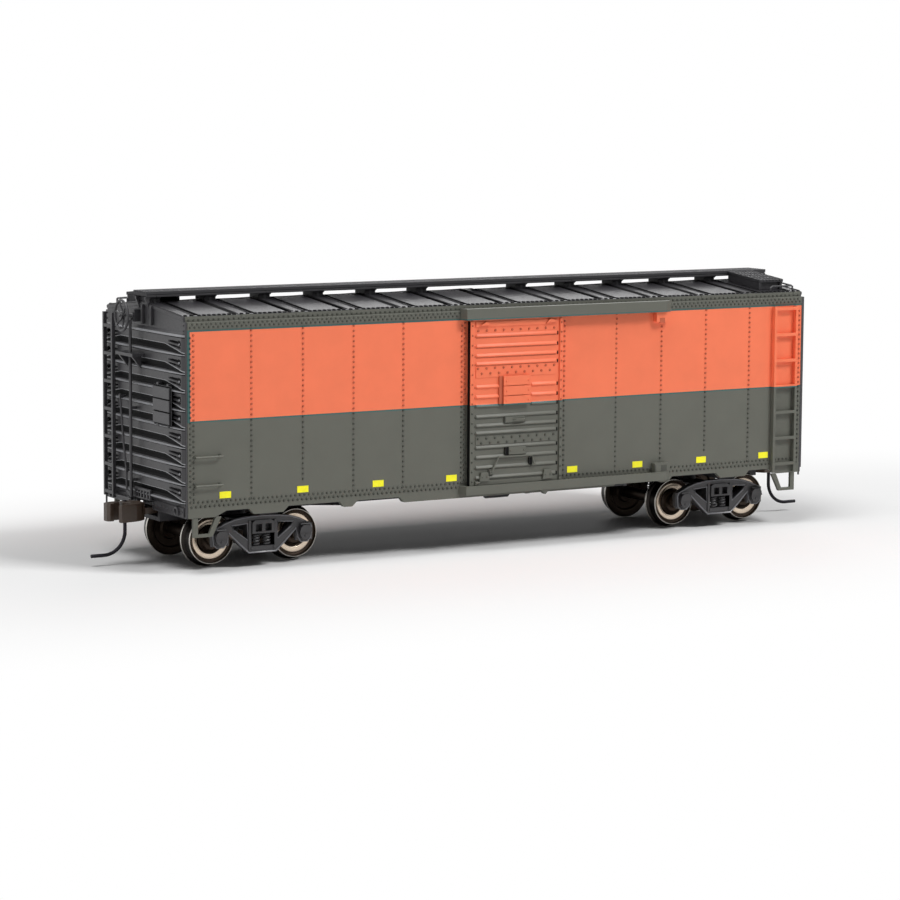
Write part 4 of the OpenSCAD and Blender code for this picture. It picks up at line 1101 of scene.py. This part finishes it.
def truck_side():
    """The right-hand side frame of a truck whose pivot is at x = 0."""
    shape = Shape()
    r = RAIL
    arch = [(0, 9.3), (3.65, 9.14), (5.9, 8.85), (8.0, 8.2), (9.3, 7.55), (10.3, 7.1), (10.6, 6.4),
            (10.4, 4.3), (9.7, 3.7), (8.3, 3.7), (7.6, 4.6), (7.25, 6.4), (4.75, 3.95), (2.9, 2.3)]
    outline = [(x, r + z) for x, z in arch] + [(-x, r + z) for x, z in reversed(arch[1:])]
    window = [(3.2, 4.75), (3.2, 8.0), (6.6, 7.75), (6.0, 6.75)]
    windows = [[(s * x, r + z) for x, z in window] for s in (-1, 1)]
    middle = [(-2.5, r + 3.5), (2.5, r + 3.5), (2.5, r + 8.45), (-2.5, r + 8.45)]
    back, rim = -11.9, -13.75
    shape.prism(outline, back, rim, on_side, windows + [middle])
    # Raised rims round the casting and its windows, grey as painted highlight
    for loop in [outline] + windows:
        shape.tube([(x, rim, z) for x, z in loop], 0.17, 6, closed=True, finish=1)
    # Columns beside the spring group
    for s in (-1, 1):
        x0, x1 = sorted((s * 2.5, s * 3.05))
        shape.box((x0, rim - 0.2, r + 2.9), (x1, back, r + 8.5))
    # Spring seat and the bottom member
    shape.box((-2.9, rim - 0.15, r + 2.75), (2.9, back, r + 3.45))
    shape.rivets([(x, rim - 0.15, r + 3.1) for x in (-2.4, 2.4)], (0, -1, 0), size=1.2)
    # Bolster end with its two square openings
    bolster = [(-2.35, r + 5.95), (2.35, r + 5.95), (2.35, r + 8.1), (1.7, r + 8.5),
               (-1.7, r + 8.5), (-2.35, r + 8.1)]
    shape.prism(bolster, back + 1, rim - 0.45, on_side,
                [rectangle(-1.65, r + 6.3, -0.3, r + 7.75), rectangle(0.4, r + 6.3, 1.75, r + 7.75)])
    shape.box((-2.2, rim + 0.9, r + 5.95), (2.2, back + 0.5, r + 8.3))
    # Two coil springs, with their caps
    for x in (-1.15, 1.15):
        coils = [(x + 0.72 * math.cos(t), -12.95 + 0.72 * math.sin(t),
                  r + 3.45 + 2.5 * t / (math.tau * 4.5))
                 for t in [math.tau * 4.5 * i / 60 for i in range(61)]]
        shape.tube(coils, 0.2, 6)
        shape.lathe([(0.05, 0), (0.4, 0), (0.4, 2.4), (0.05, 2.4)], (x, -12.95, r + 3.5),
                    (0, 0, 1), (1, 0, 0), 10)
    # Journal boxes: a round casting with a hooded lid, its hinge and bolts
    for s in (-1, 1):
        cx, cz = s * 9, r + 5.45
        ring = [(cx + 1.5 * math.cos(math.tau * i / 20), cz + 1.65 * math.sin(math.tau * i / 20))
                for i in range(20)]
        shape.prism(ring, back, -14.0, on_side)
        shape.prism([(cx + (x - cx) * 0.8, cz + (z - cz) * 0.8) for x, z in ring], -14.0, -14.45,
                    on_side)
        hood = [(cx - 1.35, cz + 0.1), (cx + 1.35, cz + 0.1), (cx + 1.15, cz + 1.0),
                (cx + 0.55, cz + 1.5), (cx - 0.55, cz + 1.5), (cx - 1.15, cz + 1.0)]
        shape.prism(hood, -14.0, -14.75, on_side)
        shape.tube([(cx - 1.0, -14.3, cz + 1.65), (cx + 1.0, -14.3, cz + 1.65)], 0.22)
        shape.rivet((cx, -14.45, cz - 0.6), (0, -1, 0), 0.32, 0.16)
        for dx in (-1.75, 1.75):
            shape.lathe([(0.05, 0), (0.32, 0), (0.32, 3.2), (0.05, 3.2)],
                        (cx + dx * 0.94, -13.4, r + 3.95), (0, 0, 1), (1, 0, 0), 6)
    return shape


def truck_middle():
    """Bolster, brake beams and bearing cones of a truck whose pivot is at x = 0."""
    shape = Shape()
    top = RAIL + 7.9
    hole = [(1.25 * math.cos(math.tau * i / 24), 1.25 * math.sin(math.tau * i / 24))
            for i in range(24)]
    plan = [(-2.3, -12.6), (2.3, -12.6), (2.3, -6), (3.4, -3), (3.4, 3), (2.3, 6), (2.3, 12.6),
            (-2.3, 12.6), (-2.3, 6), (-3.4, 3), (-3.4, -3), (-2.3, -6)]
    shape.prism(plan, top - 1.7, top, on_plan, [hole])
    for s in (-1, 1):
        # Brake beam between the wheels, with its shoes
        shape.box((s * 3.3 - 0.35, -9.6, RAIL + 4.3), (s * 3.3 + 0.35, 9.6, RAIL + 5.1))
        for y in (-8.6, 8.6):
            x0, x1 = sorted((s * 3.2, s * 3.65))
            shape.box((x0, y - 0.7, RAIL + 3.6), (x1, y + 0.7, RAIL + 6.4))
            shape.tube([(s * 3.3, y, RAIL + 5.0), (s * 2.6, y, top - 1.2)], 0.25, 6)
    return shape


WHEEL_PROFILE = [
    # radius, distance out from the back, finish of the face that follows: 0 bright, 1 web, 2 dark, 3
    # tread; finish 3 is painted shade on the tread and the flange's faces, and the bright nickel is
    # left on thin edges only, as painted highlights
    (1.2, 0.0, 2), (2.0, 0.0, 2), (2.3, 0.45, 2), (3.6, 0.45, 2), (3.9, 0.05, 2), (5.1, 0.0, 3),
    (5.36, 0.12, 0), (5.44, 0.35, 0), (5.36, 0.58, 3), (5.12, 0.78, 3), (4.86, 0.95, 3),
    (4.8, 1.15, 3), (4.72, 2.62, 0), (4.66, 2.78, 0), (4.56, 2.8, 2), (4.46, 2.7, 2),
    (4.35, 2.2, 2), (3.95, 2.05, 1), (3.75, 2.3, 1), (3.3, 2.35, 1), (2.8, 2.15, 2), (2.4, 1.9, 2),
    (2.0, 2.3, 2), (1.9, 2.8, 2), (1.2, 2.8, 2),
]


def wheel_shape(x):
    """Both wheels of a set, turned on an axle at x."""
    shape = Shape()
    finishes = [f for _, _, f in WHEEL_PROFILE]
    for side in (-1, 1):
        profile = [(r, side * (7.25 + a)) for r, a, _ in WHEEL_PROFILE]
        start = len(shape.faces)
        shape.lathe(profile, (x, 0, WHEEL_Z), (0, 1, 0), (1, 0, 0), 96, finishes)
        if side > 0:
            shape.faces[start:] = [(face[::-1], f, fine) for face, f, fine in shape.faces[start:]]
    return shape


# ---- brake gear ----

def brake_wheel_shape():
    """Handwheel on the brake end: round rim, six bent spokes and a hub."""
    low, high = span("brake_wheel")
    centre = (low + high) / 2
    radius = (high.y - low.y) / 2 - 0.28
    shape = Shape()
    ring = [(centre.x, centre.y + radius * math.cos(t), centre.z + radius * math.sin(t))
            for t in [math.tau * i / 48 for i in range(48)]]
    shape.tube(ring, 0.27, 8, closed=True)
    for k in range(6):
        t = math.tau * (k + 0.25) / 6
        way = Vector((0, math.cos(t), math.sin(t)))
        shape.tube([centre + Vector((dish, 0, 0)) + way * reach for dish, reach in
                    ((0.35, 0.4), (0.35, 1.0), (0.05, 1.9), (0, radius))], 0.17, 6)
    shape.lathe([(0.05, -0.3), (0.75, -0.3), (0.75, 0.5), (0.05, 0.5)], centre, (1, 0, 0),
                (0, 1, 0), 16)
    shape.rivet(centre - Vector((0.3, 0, 0)), (-1, 0, 0), 0.35, 0.3)
    return shape


def brake_rod_shape():
    """Second rod, chain and foot of the brake rod, on the brake end."""
    shape = Shape()
    x = -SKIN_X - 1.3
    shape.tube([(x, 8.4, RAIL + 31.5), (x, 8.35, RAIL + 30.5), (x, 6.9, RAIL + 22),
                (x, 5.75, RAIL + 17), (x, 5.6, RAIL + 12.5)], 0.22)
    for y, z in ((8.4, 31), (5.75, 17)):
        shape.box((x - 0.25, y - 0.35, RAIL + z - 0.3), (-SKIN_X, y + 0.35, RAIL + z + 0.3))
    for y in (0.25, -3.6):
        shape.box((-SKIN_X - 0.55, y - 0.3, RAIL + 45.6), (-SKIN_X, y + 0.3, RAIL + 49.3))
    # Foot and chain end above the coupler's head, which swings below them
    shape.tube([(x, 3.4, RAIL + 13.6), (x, 3.4, RAIL + 11.95)], 0.3)
    shape.tube([(x, 5.4, RAIL + 13), (x, 3.6, RAIL + 12.1)], 0.24)
    return shape


# ---- operators ----

class BOXCAR_OT_sides(bpy.types.Operator):
    """Trim and rivet the sides, and finish their ladders, grabs, steps and tracks"""
    bl_idname = "boxcar.sides"
    bl_label = "Sides"

    def execute(self, context):
        paint = finish(sprayed_paint_on_styrene)
        olive = finish(sprayed_olive_on_acetal)
        shape = side_shape()
        materials = [paint, finish(enamel_plate), finish(paint_with_painted_shade)]
        shape.piece("right_side_trim", "carbody", materials, "two_tone_side", round_edges=False)
        shape.turned().piece("left_side_trim", "carbody", materials, "two_tone_side",
                             round_edges=False)
        refinish(["right_side", "left_side"], paint, 0.08)
        refinish(["right_side_ladder", "left_side_ladder"], paint)
        refinish([f"{side}_{part}" for side in ("right", "left")
                  for part in ("upper_track", "lower_track")], paint)
        refinish(["right_side_grabs", "left_side_grabs"], olive)
        refinish(["brake_right_step", "plain_right_step", "plain_left_step", "brake_left_step"],
                 olive)
        return {"FINISHED"}


class BOXCAR_OT_doors(bpy.types.Operator):
    """Build the two sliding doors"""
    bl_idname = "boxcar.doors"
    bl_label = "Doors"

    def execute(self, context):
        shape = door_shape()
        paint = [finish(sprayed_paint_on_styrene), finish(paint_with_painted_shade),
                 finish(black_for_painted_shade), finish(black_styrene)]
        shape.piece("right_door_pressed", "right_door", paint, "two_tone_door", ["right_door"])
        shape.turned().piece("left_door_pressed", "left_door", paint, "two_tone_door",
                             ["left_door"])
        return {"FINISHED"}


class BOXCAR_OT_ends(bpy.types.Operator):
    """Press the two ends and put their fittings on"""
    bl_idname = "boxcar.ends"
    bl_label = "Ends"

    def execute(self, context):
        black = finish(black_styrene)
        shape = end_shape()
        pressed = [black, finish(black_for_painted_shade), finish(crest_highlight_styrene)]
        shape.piece("plain_end_pressed", "carbody", pressed, "black_end", ["plain_end"])
        shape.turned().piece("brake_end_pressed", "carbody", pressed, "black_end", ["brake_end"])
        fittings = end_fittings()
        fittings.piece("plain_end_fittings", "carbody", pressed, "black_fittings")
        fittings.turned().piece("brake_end_fittings", "carbody", pressed, "black_fittings")
        refinish(["brake_end_ladder", "plain_end_ladder"], black)
        return {"FINISHED"}


class BOXCAR_OT_roof(bpy.types.Operator):
    """Build the roof, the running board, the side platforms and their grab irons"""
    bl_idname = "boxcar.roof"
    bl_label = "Roof and walkways"

    def execute(self, context):
        black = finish(black_styrene)
        matt = finish(black_styrene_matt)
        materials = [finish(roof_styrene), finish(black_for_painted_shade), finish(sprayed_paint_on_styrene),
                     finish(paint_with_painted_shade)]
        roof_shape().piece("pressed_roof", "carbody", materials, "black_roof", ["roof"],
                           round_edges=False)
        walk_shape().piece("walk_grating", "carbody", [matt], "black_walk", ["running_board"])
        platform = platform_shape()
        platform.piece("plain_right_platform", "carbody", [matt], "black_walk")
        platform.turned().piece("brake_left_platform", "carbody", [matt], "black_walk")
        grab = roof_grab_shape()
        grab.piece("plain_right_roof_grab", "carbody", [black], "black_walk", ["roof_grabs"])
        grab.turned().piece("brake_left_roof_grab", "carbody", [black], "black_walk",
                            ["roof_grabs"])
        return {"FINISHED"}


class BOXCAR_OT_trucks(bpy.types.Operator):
    """Build the two trucks"""
    bl_idname = "boxcar.trucks"
    bl_label = "Trucks"

    def execute(self, context):
        materials = [finish(black_acetal), finish(rim_highlight_acetal)]
        side, middle = truck_side(), truck_middle()
        whole = Shape()
        for part in (side, side.turned(), middle):
            whole.join(part)
        whole.moved(BOLSTER_X).piece("plain_end_truck_cast", "plain_end_truck", materials,
                                     "black_trucks", ["plain_end_truck"])
        whole.moved(-BOLSTER_X).piece("brake_end_truck_cast", "brake_end_truck", materials,
                                      "black_trucks", ["brake_end_truck"])
        return {"FINISHED"}


class BOXCAR_OT_wheels(bpy.types.Operator):
    """Turn the four wheelsets"""
    bl_idname = "boxcar.wheels"
    bl_label = "Wheelsets"

    def execute(self, context):
        materials = [finish(turned_nickel), finish(bronze_web), finish(blackened_brass),
                     finish(tread_with_painted_shade)]
        for number in range(1, 5):
            low, high = span(f"wheels_{number}")
            x = (low.x + high.x) / 2
            wheel_shape(x).piece(f"wheels_{number}_turned", f"wheelset_{number}", materials,
                                 "plated_wheel", [f"wheels_{number}"], (x, 0, WHEEL_Z))
            refinish([f"axle_{number}"], finish(blackened_brass), 0.02)
        return {"FINISHED"}


class BOXCAR_OT_brake_gear(bpy.types.Operator):
    """Build the handwheel and rods, and finish the brake gear"""
    bl_idname = "boxcar.brake_gear"
    bl_label = "Brake gear"

    def execute(self, context):
        black = finish(black_styrene)
        brake_wheel_shape().piece("brake_handwheel", "carbody", [black], "black_fittings",
                                  ["brake_wheel"])
        brake_rod_shape().piece("brake_end_rods", "carbody", [black], "black_fittings")
        refinish(["brake_housing", "brake_rod", "brake_platform"], black)
        refinish(["air_reservoir", "brake_cylinder", "control_valve", "brake_levers"],
                 finish(black_acetal))
        return {"FINISHED"}


class BOXCAR_OT_underframe(bpy.types.Operator):
    """Finish the floor, the weight, the underframe and the truck screws"""
    bl_idname = "boxcar.underframe"
    bl_label = "Underframe"

    def execute(self, context):
        matt = finish(black_styrene_matt)
        refinish(["underframe", "centre_sill", "crossbearers", "brake_end_bolster",
                  "plain_end_bolster", "brake_end_coupler_cover", "plain_end_coupler_cover"], matt)
        refinish(["floor"], finish(floor_boards), 0.04)
        refinish(["steel_weight"],
                 finish(drawn_steel, "rolled_steel_plate", linear("#A2A3A6"), 0.32, 0.5), 0.1)
        refinish(["brake_end_truck_screw", "plain_end_truck_screw"],
                 finish(drawn_steel, "blackened_screw_steel", linear("#5B5B5E"), 0.3, 0.45))
        return {"FINISHED"}


class BOXCAR_OT_couplers(bpy.types.Operator):
    """Finish the couplers, their knuckles and trip pins"""
    bl_idname = "boxcar.couplers"
    bl_label = "Couplers"

    def execute(self, context):
        refinish([f"{end}_{part}" for end in ("brake_end", "plain_end")
                  for part in ("coupler", "knuckle")], finish(brown_acetal), 0.12)
        refinish([f"{end}_trip_pin" for end in ("brake_end", "plain_end")],
                 finish(drawn_steel, "blackened_drawn_wire", linear("#2A292D"), 0.3, 0.45), 0.05)
        return {"FINISHED"}


def seen_as_white(tree):
    """1 where a ray comes from the camera, a reflection or through glass."""
    path = add_node(tree, "ShaderNodeLightPath")
    first = add_node(tree, "ShaderNodeMath", {"operation": "MAXIMUM"},
                     {0: (path, "Is Camera Ray"), 1: (path, "Is Glossy Ray")})
    return add_node(tree, "ShaderNodeMath", {"operation": "MAXIMUM"},
                    {0: (first, 0), 1: (path, "Is Transmission Ray")})


class BOXCAR_OT_stage(bpy.types.Operator):
    """Lay the floor, hang the lights and set the camera"""
    bl_idname = "boxcar.stage"
    bl_label = "Floor, lights and camera"

    def execute(self, context):
        scene = context.scene
        studio = scene.boxcar_studio
        scene.view_settings.view_transform = "Standard"
        # Floor: a round sheet that turns from pale paper near the car to the white of the room
        bm = bmesh.new()
        bmesh.ops.create_circle(bm, cap_ends=True, radius=6, segments=96)
        mesh = bpy.data.meshes.new("floor_paper")
        bm.to_mesh(mesh)
        bm.free()
        floor = bpy.data.objects.new("floor_paper", mesh)
        scene.collection.objects.link(floor)
        material = bpy.data.materials.new("pale_paper")
        material.use_nodes = True
        tree = material.node_tree
        tree.nodes.clear()
        paper = add_node(tree, "ShaderNodeBsdfDiffuse", {"Color": (*studio.floor, 1)})
        white = add_node(tree, "ShaderNodeEmission", {"Color": (1, 1, 1, 1), "Strength": 1.0})
        place = add_node(tree, "ShaderNodeTexCoord")
        flat = add_node(tree, "ShaderNodeVectorMath", {"operation": "MULTIPLY", 1: (0.45, 1, 0)},
                        {0: (place, "Object")})
        far = add_node(tree, "ShaderNodeVectorMath", {"operation": "LENGTH"}, {0: (flat, 0)})
        fade = add_node(tree, "ShaderNodeMapRange",
                        {"interpolation_type": "SMOOTHSTEP", "From Min": 0.035, "From Max": 0.11},
                        {"Value": (far, "Value")})
        seen = add_node(tree, "ShaderNodeMath", {"operation": "MULTIPLY"},
                        {0: (fade, "Result"), 1: (seen_as_white(tree), 0)})
        mixed = add_node(tree, "ShaderNodeMixShader", None,
                         {0: (seen, 0), 1: (paper, 0), 2: (white, 0)})
        add_node(tree, "ShaderNodeOutputMaterial", None, {"Surface": (mixed, 0)})
        mesh.materials.append(material)
        # Room: even light, seen as white
        world = bpy.data.worlds.new("white_room")
        scene.world = world
        world.use_nodes = True
        tree = world.node_tree
        tree.nodes.clear()
        seen = seen_as_white(tree)
        strength = add_node(tree, "ShaderNodeMapRange", {"To Min": studio.room, "To Max": 1.0},
                            {"Value": (seen, 0)})
        room = add_node(tree, "ShaderNodeBackground", {"Color": (1, 1, 1, 1)},
                        {"Strength": (strength, "Result")})
        add_node(tree, "ShaderNodeOutputWorld", None, {"Surface": (room, 0)})
        # Soft lights: in front to the right, overhead to the left, and low behind
        for name, power, size, spot, aim in (
                ("front_softbox", studio.key, 0.26, (0.34, -0.56, 0.72), (0, 0, 0.02)),
                ("overhead_softbox", studio.fill, 0.4, (-0.3, -0.15, 0.85), (0, 0, 0.02)),
                ("rear_softbox", studio.rear, 0.3, (0.45, 0.72, 0.3), (0, 0, 0.05))):
            lamp = bpy.data.lights.new(name, "AREA")
            lamp.energy = power
            lamp.size = size
            hung = bpy.data.objects.new(name, lamp)
            hung.location = spot
            hung.rotation_euler = (Vector(aim) - Vector(spot)).to_track_quat("-Z", "Y").to_euler()
            scene.collection.objects.link(hung)
        # Camera: 31 degrees round from the side, 7 above the level
        lens = bpy.data.cameras.new("camera")
        lens.lens = 125.493
        lens.sensor_width = 36
        lens.clip_start = 0.05
        camera = bpy.data.objects.new("camera", lens)
        right = Vector((0.85829, -0.51313, 0.005766))
        up = Vector((0.058912, 0.109688, 0.992219))
        back = -Vector((0.50977, 0.85127, -0.12437))
        turn = Matrix((right, up, back)).transposed().to_4x4()
        camera.matrix_world = Matrix.Translation((-0.327031, -0.540003, 0.096916)) @ turn
        scene.collection.objects.link(camera)
        scene.camera = camera
        return {"FINISHED"}


BUILDERS = [BOXCAR_OT_sides, BOXCAR_OT_doors, BOXCAR_OT_ends, BOXCAR_OT_roof, BOXCAR_OT_trucks,
            BOXCAR_OT_wheels, BOXCAR_OT_brake_gear, BOXCAR_OT_underframe, BOXCAR_OT_couplers,
            BOXCAR_OT_stage]


class BOXCAR_PT_panel(bpy.types.Panel):
    """Settings and build steps of the boxcar"""
    bl_idname = "BOXCAR_PT_panel"
    bl_label = "Boxcar"
    bl_space_type = "VIEW_3D"
    bl_region_type = "UI"
    bl_category = "Boxcar"

    def draw(self, context):
        scene = context.scene
        for title, group in (("Paint and plastic", scene.boxcar_paint),
                             ("Detail", scene.boxcar_detail), ("Studio", scene.boxcar_studio)):
            box = self.layout.box()
            box.label(text=title)
            for name in group.__annotations__:
                box.prop(group, name)
        for builder in BUILDERS:
            self.layout.operator(builder.bl_idname)


GROUPS = {"boxcar_paint": BoxcarPaint, "boxcar_detail": BoxcarDetail,
          "boxcar_studio": BoxcarStudio}


def register():
    for group in (*GROUPS.values(), *BUILDERS, BOXCAR_PT_panel):
        bpy.utils.register_class(group)
    for name, group in GROUPS.items():
        setattr(bpy.types.Scene, name, bpy.props.PointerProperty(type=group))


def unregister():
    for name in GROUPS:
        delattr(bpy.types.Scene, name)
    for group in (BOXCAR_PT_panel, *reversed(BUILDERS), *GROUPS.values()):
        bpy.utils.unregister_class(group)


def main():
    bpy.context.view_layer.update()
    register()
    for builder in BUILDERS:
        group, step = builder.bl_idname.split(".")
        getattr(getattr(bpy.ops, group), step)()


if __name__ == "__main__":
    main()
